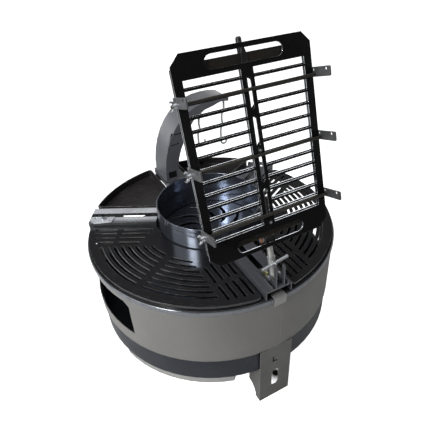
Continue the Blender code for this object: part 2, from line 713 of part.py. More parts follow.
# Plates
def grate_holes():
    """The slots of a grate: rows beside each rail, and arcs between them in two halves."""
    holes = []
    half_angle = 60.0
    inner_limit = PLATE_INNER_RADIUS + 13 * MM
    outer_limit = PLATE_OUTER_RADIUS - 14 * MM
    for sign in (-1, 1):
        along = Vector((math.cos(math.radians(half_angle)), sign * math.sin(math.radians(half_angle))))
        across = Vector((along.y, -along.x)) * sign
        for row in range(ROW_COUNT):
            offset = ROW_FIRST + ROW_PITCH * row
            start = math.sqrt(inner_limit ** 2 - offset ** 2) if offset < inner_limit else 0.0
            start = max(start, ROW_START + ROW_STEP * row)
            end = math.sqrt(outer_limit ** 2 - offset ** 2)
            ends = SLOT_WIDTH / 2
            for first, last in ((start, ROW_SPLIT - ROW_BRIDGE / 2), (ROW_SPLIT + ROW_BRIDGE / 2, end)):
                a = along * (first + ends) + across * offset
                b = along * (last - ends) + across * offset
                holes.append(obround(a, b, SLOT_WIDTH))
        row_edge = ROW_FIRST + ROW_PITCH * (ROW_COUNT - 1) + SLOT_WIDTH + 5 * MM
        for index in range(ARC_COUNT):
            radius = ARC_FIRST + (ARC_LAST - ARC_FIRST) * index / (ARC_COUNT - 1)
            far = half_angle - math.degrees(math.asin(row_edge / radius)) - 1.0
            near = math.degrees((WEB_HALF + SLOT_WIDTH / 2) / radius)
            if far - near < 3.0:
                continue
            middle = SLOT_WIDTH / 2
            outside = arc(radius + middle, sign * near, sign * far, 6.0)
            inside = arc(radius - middle, sign * far, sign * near, 6.0)
            holes.append(outside + inside)
    return holes


def build_grate(name, middle):
    """A slotted cooking plate over a third of the pit, with its edges turned down."""
    frame = polar_frame(middle)
    top = DECK + PLATE_HEIGHT
    outline = sector(PLATE_INNER_RADIUS, PLATE_OUTER_RADIUS, PLATE_RAIL_OFFSET, PLATE_RAIL_OFFSET,
                     60.0)
    sheet = plate(name, outline, grate_holes(), top - PLATE_SHEET, top, "black_steel", frame)
    inset = 0.4 * MM
    outer = sector(PLATE_INNER_RADIUS + inset, PLATE_OUTER_RADIUS - inset,
                   PLATE_RAIL_OFFSET + inset, PLATE_RAIL_OFFSET + inset, 60.0)
    deep = inset + PLATE_SHEET
    inner = sector(PLATE_INNER_RADIUS + deep, PLATE_OUTER_RADIUS - deep,
                   PLATE_RAIL_OFFSET + deep, PLATE_RAIL_OFFSET + deep, 60.0)
    skirt = plate(f"{name}_skirt", outer, [inner], DECK, top - PLATE_SHEET / 2, frame=frame)
    return union(sheet, skirt)


def build_griddle(name, middle, low_offset, high_offset):
    """A solid cooking plate over a sixth of the pit, with its edges turned up."""
    frame = polar_frame(middle)
    shape = sector(PLATE_INNER_RADIUS, PLATE_OUTER_RADIUS, low_offset, high_offset)
    floor = plate(name, shape, [], DECK, DECK + PLATE_SHEET, "griddle_steel", frame)
    inset = 0.3 * MM
    outer = sector(PLATE_INNER_RADIUS + inset, PLATE_OUTER_RADIUS - inset,
                   low_offset + inset, high_offset + inset)
    deep = inset + GRIDDLE_WALL
    inner = sector(PLATE_INNER_RADIUS + deep, PLATE_OUTER_RADIUS - deep,
                   low_offset + deep, high_offset + deep)
    walls = plate(f"{name}_walls", outer, [inner], DECK + PLATE_SHEET / 2,
                  DECK + GRIDDLE_WALL_HEIGHT, frame=frame)
    return union(floor, walls)


# Hook arm
def arm_outline():
    """Outer curve of the arch in the arm's own plane: a squarish quarter and a drooping tail."""
    back = ARM_BACK_B
    points = []
    for i in range(11):
        t = math.radians(9.0 * i)
        x = back + ARM_REACH * (1 - math.cos(t) ** (2 / ARM_POWER))
        z = ARM_RISE * math.sin(t) ** (2 / ARM_POWER)
        points.append((x, z))
    for i in range(1, 5):
        t = i / 4
        points.append((back + ARM_REACH + ARM_TAIL * t, ARM_RISE - ARM_TAIL_DROOP * t * t))
    return points


def arm_inner(points, depth_at):
    """The arch's inner curve, a depth inside the outer one."""
    inner = []
    last = len(points) - 1
    for index, (x, z) in enumerate(points):
        before = Vector(points[max(0, index - 1)])
        after = Vector(points[min(last, index + 1)])
        along = (after - before).normalized()
        inward = Vector((along.y, -along.x))
        spot = Vector((x, z)) + inward * depth_at(index / last)
        inner.append((spot.x, max(spot.y, 0.0)))
    inner[0] = (inner[0][0], 0.0)
    return inner


def flange_depth(t):
    """Depth of the arm's side flanges, from its foot at 0 to its tip at 1."""
    if t < 0.35:
        return ARM_BASE_DEPTH + (ARM_MID_DEPTH - ARM_BASE_DEPTH) * t / 0.35
    shoulder = (t - 0.35) / 0.65
    return ARM_MID_DEPTH + (ARM_TIP_DEPTH - ARM_MID_DEPTH) * min(1.0, shoulder * 1.25) ** 0.8


def build_arm():
    """A bent channel: a broad back and two side flanges that taper to the tip, on a flat sole."""
    outer = arm_outline()
    base = SLIDE_LEVEL + ARM_SLIDER[2] + GAP
    block = outer + arm_inner(outer, flange_depth)[::-1]
    hollow = arm_inner(outer, lambda t: ARM_SHEET)
    onward = (Vector(hollow[-1]) - Vector(hollow[-2])).normalized() * 5 * MM
    hollow = [(hollow[0][0], ARM_SOLE), *hollow[1:-1], tuple(Vector(hollow[-1]) + onward)]
    hollow.append((hollow[-1][0], ARM_SOLE))
    angle = RAIL_ANGLES["rail_arm"]
    # The arch runs along the tangent that points to the photograph's right, which is minus Y here.
    turn = Matrix(((0, 0, -1, 0), (-1, 0, 0, 0), (0, 1, 0, base), (0, 0, 0, 1)))
    frame = polar_frame(angle) @ turn
    near = -ARM_CENTRE_R + ARM_WIDTH / 2
    far = -ARM_CENTRE_R - ARM_WIDTH / 2
    arm = plate("hook_arm", block, [], far, near, "arm_paint", frame)
    cut(arm, plate("arm_hollow", hollow, [], far + ARM_SHEET, near - ARM_SHEET, frame=frame))
    slot_long, slot_high = ARM_SLOT_SIZE
    openings = [(left, left + slot_long, low, low + slot_high) for left, low in ARM_SLOT_PLACES]
    for index, (left, right, low, high) in enumerate([*openings, ARM_WINDOW]):
        cut(arm, box(f"arm_opening_{index}", (left, low, near - 2 * ARM_SHEET),
                     (right, high, near + ARM_SHEET), frame=frame))
    for name, (place, _) in HOOKS.items():
        x = ARM_BACK_B + place
        cut(arm, rod(f"{name}_hole", (x, ARM_RISE - 30 * MM, -HOOK_RADIUS),
                     (x, ARM_RISE + 10 * MM, -HOOK_RADIUS), HOOK_HOLE, frame=frame, sides=12))
    return arm, frame


def arm_level(place):
    """Height of the arm's back above its foot, at a distance along the arch."""
    x = ARM_BACK_B + place
    points = arm_outline()
    for (x_low, z_low), (x_high, z_high) in zip(points, points[1:]):
        if x <= x_high:
            return z_low + (z_high - z_low) * (x - x_low) / (x_high - x_low)
    return points[-1][1]


def smooth(points, steps=3):
    """More points on a smooth curve through the given ones."""
    spots = [Vector(point) for point in points]
    ends = [2 * spots[0] - spots[1], *spots, 2 * spots[-1] - spots[-2]]
    out = []
    for a, b, c, d in zip(ends, ends[1:], ends[2:], ends[3:]):
        for i in range(steps):
            t = i / steps
            out.append((2 * b + (c - a) * t + (2 * a - 5 * b + 4 * c - d) * t ** 2
                        + (3 * b - a - 3 * c + d) * t ** 3) / 2)
    return [tuple(spot) for spot in [*out, spots[-1]]]


def hook_seat(place):
    """Height of the hook's turned end above the arm's foot, where it rests on the arm's back."""
    return max(arm_level(place - HOOK_HOLE), arm_level(place - HOOK_TURN)) + HOOK_WIRE + GAP


def build_hook(name, place, length, frame):
    """A wire hook that hangs through a hole in the arm's back, its upper end turned over."""
    x = ARM_BACK_B + place
    top = hook_seat(place)
    low = top - length
    points = [(x - HOOK_TURN, top), (x - HOOK_WIRE, top), (x, top - HOOK_WIRE)]
    points += [(x - side, top - length * share) for side, share in HOOK_JOGS]
    middle = x - HOOK_JOGS[-1][0] + HOOK_BEND
    points += [(middle + HOOK_BEND * math.cos(t), low + HOOK_BEND + HOOK_BEND * math.sin(t))
               for t in [math.radians(a) for a in (180, 225, 270, 315, 360)]]
    points.append((middle + 1.2 * HOOK_BEND, low + 1.9 * HOOK_BEND))
    spots = [(px, pz, -HOOK_RADIUS) for px, pz in points[:1] + smooth(points[1:])]
    return wire(name, spots, HOOK_WIRE, "zinc", frame)


def build_arm_slider():
    across, along, thick = ARM_SLIDER
    frame = polar_frame(RAIL_ANGLES["rail_arm"])
    b = -ARM_CENTRE_B
    slider = box("arm_slider", (ARM_CENTRE_R - along / 2, b - across / 2, SLIDE_LEVEL),
                 (ARM_CENTRE_R + along / 2, b + across / 2, SLIDE_LEVEL + thick), "zinc", frame)
    key = box("arm_slider_key", (ARM_CENTRE_R - 20 * MM, -RAIL_SLOT_WIDTH / 2 + GAP,
                                 RAIL_TOP - RAIL_SHEET), (ARM_CENTRE_R + 20 * MM,
                                                          RAIL_SLOT_WIDTH / 2 - GAP,
                                                          SLIDE_LEVEL + thick / 2), frame=frame)
    stud = rod("arm_slider_stud", (ARM_CENTRE_R, 0, DECK + 3 * MM),
               (ARM_CENTRE_R, 0, RAIL_TOP - RAIL_SHEET + 0.5 * MM), 4 * MM, frame=frame)
    return union(slider, key, stud)


def build_arm_nut():
    frame = polar_frame(RAIL_ANGLES["rail_arm"])
    high = RAIL_TOP - RAIL_SHEET - GAP
    nut = rod("arm_slider_nut", (ARM_CENTRE_R, 0, high - 6 * MM), (ARM_CENTRE_R, 0, high), 10 * MM,
              "zinc", frame, 6)
    bore = rod("arm_nut_bore", (ARM_CENTRE_R, 0, high - 9 * MM), (ARM_CENTRE_R, 0, high + 3 * MM),
               4 * MM + GAP, frame=frame)
    return cut(nut, bore)


# Mast
def build_mast_slider():
    """A shallow tray that slides along the front rail, with a key in the rail's slot."""
    frame = polar_frame(RAIL_ANGLES["rail_front"])
    low = SLIDE_LEVEL
    half = SLIDER_HALF_WIDTH
    slider = box("mast_slider", (SLIDER_START, -half, low), (SLIDER_END, half, low + SLIDER_SHEET),
                 "zinc", frame)
    for sign in (-1, 1):
        edge = sign * (half - 0.2 * MM)
        near = min(edge, edge - sign * 2 * MM)
        shape = [(SLIDER_START + 0.2 * MM, low + 1 * MM), (SLIDER_END - 0.2 * MM, low + 1 * MM),
                 (SLIDER_END - 0.2 * MM, low + SLIDER_FLANGE),
                 (SLIDER_START + 12 * MM, low + SLIDER_FLANGE), (SLIDER_START + 0.2 * MM, low + 4 * MM)]
        union(slider, plate(f"slider_flange_{sign}", shape, [], -1 * MM, 1 * MM,
                            frame=side_frame(RAIL_ANGLES["rail_front"], near + 1 * MM)))
    key_half = RAIL_SLOT_WIDTH / 2 - GAP
    key_end = RAIL_SLOT_END - RAIL_SLOT_WIDTH / 2 - 2 * MM
    key = box("slider_key", (SLIDER_START + 4 * MM, -key_half, RAIL_TOP - RAIL_SHEET),
              (key_end, key_half, low + SLIDER_SHEET / 2), frame=frame)
    bore = rod("slider_bore", (WING_STUD_R, 0, DECK), (WING_STUD_R, 0, low + 12 * MM), 3.3 * MM,
               frame=frame)
    return cut(union(slider, key), bore)


def build_slider_stud():
    """A bolt whose head lies under the rail and whose thread stands up through the slider."""
    frame = polar_frame(RAIL_ANGLES["rail_front"])
    under = RAIL_TOP - RAIL_SHEET - GAP
    stud = rod("slider_stud", (WING_STUD_R, 0, under - 1 * MM),
               (WING_STUD_R, 0, SLIDE_LEVEL + WING_STUD_RISE), 3 * MM, "zinc", frame)
    head = rod("stud_head", (WING_STUD_R, 0, under - 5 * MM), (WING_STUD_R, 0, under), 9 * MM,
               frame=frame, sides=12)
    return union(stud, head)


def wing_nut(name, place, axis, side, material, bore, span=WING_SPAN):
    """A wing nut at a place, with its axis and the direction of its wings."""
    axis = Vector(axis).normalized()
    side = Vector(side).normalized()
    turn = Matrix((side, axis.cross(side), axis)).transposed().to_4x4()
    frame = Matrix.Translation(place) @ turn
    foot, top, height = WING_HUB
    body = rod(name, (0, 0, 0), (0, 0, height), foot, material, frame, 12, top)
    wings = [(3 * MM, 1 * MM), (span / 2 - 2 * MM, 4 * MM), (span / 2, 9 * MM),
             (span / 2 - 3 * MM, WING_HEIGHT), (6.5 * MM, 8 * MM), (3 * MM, 5.6 * MM)]
    upright = Matrix(((1, 0, 0, 0), (0, 0, -1, 0), (0, 1, 0, 0), (0, 0, 0, 1)))
    for sign in (-1, 1):
        shape = [(sign * x, z) for x, z in wings]
        union(body, plate(f"{name}_wing_{sign}", shape, [], -WING_SHEET / 2, WING_SHEET / 2,
                         frame=frame @ upright))
    hole = rod(f"{name}_bore", (0, 0, -2 * MM), (0, 0, 9 * MM), bore, frame=frame, sides=12)
    return cut(body, hole)


def build_yoke():
    """Two cheeks and a web that stand on the slider and hold the mast's socket between them."""
    angle = RAIL_ANGLES["rail_front"]
    base = SLIDE_LEVEL + SLIDER_SHEET + GAP
    cheek_in = SOCKET_RADIUS + GAP
    horn_in = SLIDER_END - YOKE_HORN
    boss = 8 * MM
    shoulder = MAST_PIVOT_Z + 3 * MM
    shape = [(MAST_PIVOT_R - boss - 4 * MM, base), (SLIDER_END, base), (SLIDER_END, YOKE_TOP - 4 * MM),
             (SLIDER_END - 4 * MM, YOKE_TOP), (horn_in + 2 * MM, YOKE_TOP), (horn_in, YOKE_TOP - 3 * MM),
             (horn_in, shoulder)]
    shape += arc(boss, 20, 160, 28, (MAST_PIVOT_R, MAST_PIVOT_Z))
    eye = arc(PIN_RADIUS + GAP, 0, 330, 30, (MAST_PIVOT_R, MAST_PIVOT_Z))
    cheeks = []
    for sign in (-1, 1):
        middle = sign * (cheek_in + YOKE_SHEET / 2)
        cheeks.append(plate("mast_yoke" if sign < 0 else "yoke_cheek", shape, [eye], -YOKE_SHEET / 2,
                            YOKE_SHEET / 2, "zinc", side_frame(angle, middle)))
    half = cheek_in + YOKE_SHEET / 2
    foot_in = SLIDER_END - YOKE_HORN + 1 * MM
    web = box("yoke_web", (foot_in, -half, base + 0.1 * MM), (SLIDER_END - 1 * MM, half, base + 2.2 * MM),
              frame=polar_frame(angle))
    return union(cheeks[0], cheeks[1], web)


def build_pin():
    """The mast's pivot pin, headed outside both cheeks."""
    frame = mast_frame()
    outer = SOCKET_RADIUS + GAP + YOKE_SHEET + GAP
    pin = rod("pivot_pin", (-outer - 1 * MM, 0, 0), (outer + 1 * MM, 0, 0), PIN_RADIUS, "zinc", frame, 12)
    for sign in (-1, 1):
        union(pin, rod(f"pin_head_{sign}", (sign * outer, 0, 0), (sign * (outer + 3.5 * MM), 0, 0),
                       5.5 * MM, frame=frame, sides=6))
    return pin


def build_socket():
    """The tilting socket: a tube on the mast's axis, closed below, with an eye for the pin."""
    frame = mast_frame()
    socket = rod("mast_socket", (0, -SOCKET_BOTTOM, 0), (0, SOCKET_TOP, 0), SOCKET_RADIUS, "zinc",
                 frame, 20)
    bore = rod("socket_bore", (0, SOCKET_FLOOR, 0), (0, SOCKET_TOP + 5 * MM, 0),
               MAST_SLEEVE_RADIUS + GAP, frame=frame)
    eye = rod("socket_eye", (-12 * MM, 0, 0), (12 * MM, 0, 0), PIN_RADIUS + GAP, frame=frame, sides=12)
    tap = rod("socket_tap", (0, SCREW_HEIGHT, 0), (0, SCREW_HEIGHT, 15 * MM), SCREW_RADIUS + GAP,
              frame=frame, sides=12)
    return cut(socket, bore, eye, tap)


def build_t_handle():
    """The clamping screw with its cross handle."""
    frame = mast_frame()
    shaft = rod("t_handle_screw", (0, SCREW_HEIGHT, MAST_SLEEVE_RADIUS + GAP),
                (0, SCREW_HEIGHT, HANDLE_OUT + 4.6 * MM), SCREW_RADIUS, "zinc", frame, 12)
    middle = Vector((0, SCREW_HEIGHT, HANDLE_OUT))
    turn = math.radians(HANDLE_TURN)
    along = Vector((math.cos(turn), math.sin(turn), 0))
    reach = along * HANDLE_LENGTH / 2
    union(shaft, rod("t_handle_bar", middle - reach, middle + reach, HANDLE_RADIUS, frame=frame, sides=12))
    for sign in (-1, 1):
        end = middle + sign * reach
        union(shaft, rod(f"t_handle_end_{sign}", end - sign * HANDLE_RADIUS * along,
                         end + sign * HANDLE_RADIUS / 2 * along, 1.1 * HANDLE_RADIUS, frame=frame, sides=12))
    return shaft


def build_mast():
    """The mast, with a thicker sleeve at its foot that stands in the socket."""
    frame = mast_frame()
    low = SOCKET_FLOOR + GAP
    mast = rod("mast_rod", (0, low, 0), (0, low + MAST_LENGTH - 2 * MM, 0), MAST_RADIUS, "zinc", frame)
    tip = rod("mast_tip", (0, low + MAST_LENGTH - 2.5 * MM, 0), (0, low + MAST_LENGTH, 0),
              MAST_RADIUS - 0.05 * MM, frame=frame, end_radius=MAST_RADIUS - 1.6 * MM)
    sleeve = rod("mast_sleeve", (0, low + 0.2 * MM, 0), (0, MAST_SLEEVE_TOP, 0), MAST_SLEEVE_RADIUS,
                 frame=frame, sides=20)
    return union(mast, tip, sleeve)


# Basket
def bar_height(index):
    return GRID_FIRST_BAR + GRID_PITCH * index


def grid_holes(slot_width):
    """The windows between a grid's bars, on both sides of its spine, and the spine's slots."""
    holes = []
    low = FRONT_BOTTOM + FRONT_END_STRIP
    high = FRONT_TOP - FRONT_END_STRIP
    half = GRID_WIDTH / 2 - GRID_SIDE
    edges = [low] + [bar_height(i) for i in range(GRID_BARS)] + [high]
    for index, (below, above) in enumerate(zip(edges, edges[1:])):
        bottom = below + (GRID_BAR / 2 if index else 0.0)
        top = above - (GRID_BAR / 2 if index < GRID_BARS else 0.0)
        if top - bottom < 3 * MM:
            continue
        for side in (-1, 1):
            near = side * GRID_SPINE / 2
            far = side * half
            holes.append(rectangle(min(near, far), max(near, far), bottom, top))
    pitch = GRID_PITCH * SPINE_PITCH_BARS
    length = GRID_PITCH * SPINE_SLOT_BARS
    top = bar_height(GRID_BARS - 1)
    for index in range(SPINE_SLOTS):
        high_end = top - pitch * index
        holes.append(obround((0, high_end - length + slot_width / 2), (0, high_end - slot_width / 2),
                             slot_width, 2))
    return holes


def chamfered(low, high, half, chamfer):
    return [(-half, low + chamfer), (chamfer - half, low), (half - chamfer, low), (half, low + chamfer),
            (half, high - chamfer), (half - chamfer, high), (chamfer - half, high),
            (-half, high - chamfer)]


def build_front_grid():
    half = GRID_WIDTH / 2
    outline = chamfered(FRONT_BOTTOM, FRONT_TOP, half, GRID_CHAMFER)
    holes = grid_holes(SPINE_SLOT_WIDTH)
    reach = (HANDLE_SLOT - HANDLE_SLOT_WIDTH) / 2
    for middle in (FRONT_BOTTOM + FRONT_END_STRIP / 2, FRONT_TOP - FRONT_END_STRIP / 2):
        holes.append(obround((-reach, middle), (reach, middle), HANDLE_SLOT_WIDTH, 6))
    return plate("front_grid", outline, holes, FRONT_OUT, FRONT_OUT + GRID_SHEET, "black_steel",
                 mast_frame())


def build_rear_grid():
    half = GRID_WIDTH / 2
    outline = chamfered(REAR_BOTTOM - REAR_LIFT, REAR_TOP - REAR_LIFT, half, 6 * MM)
    return plate("rear_grid", outline, grid_holes(REAR_SLOT_WIDTH), REAR_OUT, REAR_OUT + GRID_SHEET,
                 "black_steel", mast_frame() @ Matrix.Translation((0, REAR_LIFT, 0)))


def rod_out():
    return FRONT_OUT + GRID_SHEET + GAP + ROD_RADIUS


def build_ear(name, side, level):
    """An ear on one edge of the rear grid, with a hole that a clamp rod goes through."""
    inside = GRID_WIDTH / 2 + GAP
    frame = mast_frame() @ Matrix(((0, 0, 1, 0), (0, 1, 0, 0), (-1, 0, 0, 0), (0, 0, 0, 1)))
    low_x = inside if side > 0 else -inside - EAR_SHEET
    low = level + EAR_LIFT - EAR_HEIGHT / 2
    shape = round_corners(rectangle(-EAR_OUT, -REAR_OUT, low, low + EAR_HEIGHT), (0, 3), 3 * MM)
    holes = [arc(ROD_RADIUS + GAP, 0, 330, 30, (-rod_out(), level))]
    holes += [arc(radius, 0, 330, 30, (-out, level + rise)) for out, rise, radius in EAR_HOLES]
    return plate(name, shape, holes, low_x, low_x + EAR_SHEET, "zinc", frame)


def build_clamp_rod(name, level):
    out = rod_out()
    half = GRID_WIDTH / 2
    return rod(name, (-half - ROD_LEFT_END, level, out), (half + ROD_RIGHT_END, level, out), ROD_RADIUS,
               "black_steel", mast_frame(), 12)


def build_rod_nut(name, level):
    frame = mast_frame()
    place = frame @ Vector((-GRID_WIDTH / 2 - EAR_SHEET - 2 * GAP, level, rod_out()))
    axis = frame.to_3x3() @ Vector((-1, 0, 0))
    side = frame.to_3x3() @ Vector((0, 0.97, 0.24))
    return wing_nut(name, place, axis, side, "zinc", ROD_RADIUS + GAP, 20 * MM)


def build_collar_block(name, level, front):
    """A block that rides on the mast and is fixed to the rear grid."""
    frame = mast_frame()
    half = 10 * MM
    block = box(name, (-half, level, -MAST_RADIUS - 3.5 * MM), (half, level + COLLAR_HEIGHT, front),
                "black_steel", frame)
    bore = rod(f"{name}_bore", (0, level - 5 * MM, 0), (0, level + COLLAR_HEIGHT + 5 * MM, 0),
               MAST_RADIUS + GAP, frame=frame)
    return cut(block, bore)


def build_guide_strap():
    """The tapered strap that clamps the rear grid's top strip to the guide behind it."""
    low = GUIDE_LEVEL
    shape = [(-6.5 * MM, low), (6.5 * MM, low), (4.5 * MM, low + STRAP_HEIGHT - 5 * MM),
             (2.5 * MM, low + STRAP_HEIGHT), (-2.5 * MM, low + STRAP_HEIGHT),
             (-4.5 * MM, low + STRAP_HEIGHT - 5 * MM)]
    face = REAR_OUT + GRID_SHEET + GAP
    return plate("guide_strap", shape, [], face, face + 2 * MM, "zinc", mast_frame())


def build_collar_bolt():
    """The set bolt that locks the basket's height: a zinc bolt with a copper lock nut."""
    frame = mast_frame()
    level = COLLAR_LEVEL + COLLAR_HEIGHT / 2
    bolt = rod("collar_bolt", (-10.4 * MM, level, 0), (-20 * MM, level, 0), 2.5 * MM, "zinc", frame, 12)
    head = rod("collar_bolt_head", (-10.4 * MM, level, 0), (-13.5 * MM, level, 0), 5 * MM, frame=frame,
               sides=6)
    nut = rod("collar_nut", (-14 * MM, level, 0), (-18 * MM, level, 0), 5 * MM, "copper", frame, 6)
    bore = rod("collar_nut_bore", (-12 * MM, level, 0), (-22 * MM, level, 0), 2.5 * MM + GAP,
               frame=frame, sides=12)
    return union(bolt, head), cut(nut, bore)


def main():
    build_band()
    build_pan()
    build_rim()
    build_tube()
    build_collar()
    for name, angle in LEG_ANGLES.items():
        build_leg(name, angle)
    build_runner("tray_runner_right", 1)
    build_runner("tray_runner_left", -1)
    for name, angle in RAIL_ANGLES.items():
        build_rail(name, angle)
        build_clip(f"{name}_clip", angle)
    build_end_plate()
    build_end_bolt()
    build_rear_lug()

    up = Vector((0, 0, 1))
    tray_pivot = pivot("ash_tray_slide", polar_frame(TRAY_ANGLE) @ Vector((TRAY_RADIUS, 0, PAN_BOTTOM)))
    hang(tray_pivot, build_tray())
    hang(pivot("swirl_grate_lift", up * SWIRL_LEVEL), build_swirl())
    plates = {
        "grate_front_left": (build_grate, 236.0, ()),
        "grate_right": (build_grate, 356.0, ()),
        "griddle_left": (build_griddle, 146.0, (GRIDDLE_ARM_OFFSET, PLATE_RAIL_OFFSET)),
        "griddle_rear": (build_griddle, 86.0, (GRIDDLE_REAR_OFFSET, PLATE_RAIL_OFFSET)),
    }
    for name, (maker, middle, offsets) in plates.items():
        place = polar_frame(middle) @ Vector((PLATE_OUTER_RADIUS * 0.7, 0, DECK))
        hang(pivot(f"{name}_lift", place), maker(name, middle, *offsets))

    arm_axis = polar_frame(RAIL_ANGLES["rail_arm"]) @ Vector((ARM_CENTRE_R, -ARM_CENTRE_B, SLIDE_LEVEL))
    arm_slide = pivot("arm_slide", arm_axis)
    hang(arm_slide, build_arm_slider(), build_arm_nut())
    arm, frame = build_arm()
    arm_swing = pivot("arm_swing", arm_axis)
    hang(arm_slide, arm_swing)
    hang(arm_swing, arm)
    for name, (place, length) in HOOKS.items():
        x = ARM_BACK_B + place
        eye = pivot(f"{name}_swing", frame @ Vector((x, hook_seat(place), -HOOK_RADIUS)))
        hang(arm_swing, eye)
        hang(eye, build_hook(name, place, length, frame))

    mast = mast_frame()
    front = polar_frame(RAIL_ANGLES["rail_front"])
    slide = pivot("mast_slide", front @ Vector((WING_STUD_R, 0, SLIDE_LEVEL)))
    hang(slide, build_mast_slider(), build_slider_stud(), build_yoke(), build_pin())
    nut_place = front @ Vector((WING_STUD_R, 0, SLIDE_LEVEL + SLIDER_SHEET + GAP))
    nut_turn = pivot("slider_wing_nut_turn", nut_place)
    hang(slide, nut_turn)
    hang(nut_turn, wing_nut("slider_wing_nut", nut_place, up, front.to_3x3() @ Vector((0.25, 0.97, 0)),
                            "yellow_zinc", 3 * MM + GAP, 26 * MM))
    tilt = pivot("mast_tilt", mast @ Vector((0, 0, 0)))
    hang(slide, tilt)
    hang(tilt, build_socket())
    screw = pivot("t_handle_turn", mast @ Vector((0, SCREW_HEIGHT, HANDLE_OUT)))
    hang(tilt, screw)
    hang(screw, build_t_handle())
    turn = pivot("mast_turn", mast @ Vector((0, SOCKET_FLOOR, 0)))
    hang(tilt, turn)
    hang(turn, build_mast())

    height = pivot("basket_height", mast @ Vector((0, COLLAR_LEVEL, 0)))
    hang(turn, height)
    hang(height, build_rear_grid())
    hang(height, build_collar_block("basket_collar", COLLAR_LEVEL, MAST_RADIUS + 3.5 * MM))
    hang(height, build_collar_block("basket_guide", GUIDE_LEVEL, REAR_OUT - GAP))
    hang(height, build_guide_strap())
    hang(height, *build_collar_bolt())
    lift = pivot("front_grid_lift", mast @ Vector((0, FRONT_BOTTOM, FRONT_OUT)))
    hang(height, lift)
    hang(lift, build_front_grid())
    for place, level in zip(("top", "middle", "bottom"), ROD_LEVELS):
        hang(height, build_ear(f"right_ear_{place}", 1, level), build_ear(f"left_ear_{place}", -1, level))
        rod_slide = pivot(f"rod_{place}_slide", mast @ Vector((0, level, rod_out())))
        hang(height, rod_slide)
        hang(rod_slide, build_clamp_rod(f"clamp_rod_{place}", level))
        hang(rod_slide, build_rod_nut(f"wing_nut_{place}", level))

    for made in PARTS.objects:
        if made.type == "MESH":
            made.data.shade_smooth()
            made.data.set_sharp_from_angle(angle=math.radians(32))


main()
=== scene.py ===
"""Fire pit grill: finishes, fittings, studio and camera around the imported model."""

import math

import bmesh
import bpy
from bpy.props import FloatProperty, FloatVectorProperty, PointerProperty
from mathutils import Matrix, Vector


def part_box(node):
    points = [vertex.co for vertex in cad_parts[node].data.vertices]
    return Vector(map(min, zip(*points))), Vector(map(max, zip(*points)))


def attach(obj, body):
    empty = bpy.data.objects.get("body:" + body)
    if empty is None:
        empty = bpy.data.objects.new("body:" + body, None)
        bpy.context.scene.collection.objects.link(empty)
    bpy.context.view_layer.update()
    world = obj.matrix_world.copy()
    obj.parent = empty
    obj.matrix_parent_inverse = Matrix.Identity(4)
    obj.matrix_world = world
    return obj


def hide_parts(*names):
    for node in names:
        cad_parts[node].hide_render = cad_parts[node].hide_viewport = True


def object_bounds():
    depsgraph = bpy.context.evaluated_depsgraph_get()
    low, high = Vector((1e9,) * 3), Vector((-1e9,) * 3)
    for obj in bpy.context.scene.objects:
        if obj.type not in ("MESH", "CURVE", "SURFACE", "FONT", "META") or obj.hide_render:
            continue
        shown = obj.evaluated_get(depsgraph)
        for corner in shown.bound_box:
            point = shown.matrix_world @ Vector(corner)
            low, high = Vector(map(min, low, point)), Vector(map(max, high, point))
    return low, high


bl_info = {
    "name": "Fire pit grill",
    "version": (1, 0, 0),
    "blender": (4, 5, 0),
    "location": "3D View > Sidebar > Fire pit",
    "description": "Dresses the packed fire pit grill and sets up its studio",
    "category": "Object",
}

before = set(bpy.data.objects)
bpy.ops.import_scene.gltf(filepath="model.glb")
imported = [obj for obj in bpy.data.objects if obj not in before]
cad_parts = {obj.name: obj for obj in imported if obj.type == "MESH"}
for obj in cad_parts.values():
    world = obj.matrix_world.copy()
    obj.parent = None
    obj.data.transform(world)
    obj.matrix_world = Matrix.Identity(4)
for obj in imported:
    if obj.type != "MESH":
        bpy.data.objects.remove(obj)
CAD_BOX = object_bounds()
MM = 0.001

# Places on the mast: X across the basket, Y up the mast and Z out of the pit
RAIL_ANGLE = math.radians(296.0)
MAST_LEAN = math.radians(16.4)
MAST_PIVOT = (278.8 * MM, 377.0 * MM)
SLEEVE_TOP = 0.4475  # height at which the mast's bright sleeve ends
GRID_FACE = 13.5 * MM  # the front grid's outer face, out from the mast's axis
SPINE_BOLTS = ((2.5 * MM, 256.0 * MM), (2.5 * MM, 181.5 * MM), (2.5 * MM, 119.5 * MM))
ROD_LEVELS = {"top": 360.0 * MM, "middle": 248.5 * MM, "bottom": 136.5 * MM}
ROD_OUT = 16.8 * MM
ROD_RADIUS = 3.0 * MM
ROD_TIP = -142.3 * MM
ROD_NUT_END = -139.8 * MM
STUD_PLACE = 257.0 * MM  # the slider's bolt, out from the pit's axis
STUD_THREAD_DROP = 6.0 * MM  # start of its thread, below the wing nut's top
THREAD_SIDES = 14
THREAD_RISE = 0.12 * MM
THREAD_ROOT = 0.15 * MM  # the ridge's foot, inside the bolt
THREAD_SPREAD = 0.42  # half the ridge's width, as a share of the pitch
THREAD_RUN_OUT = 4  # rows over which the ridge fades at its ends
WASHER_THICK = 0.9 * MM

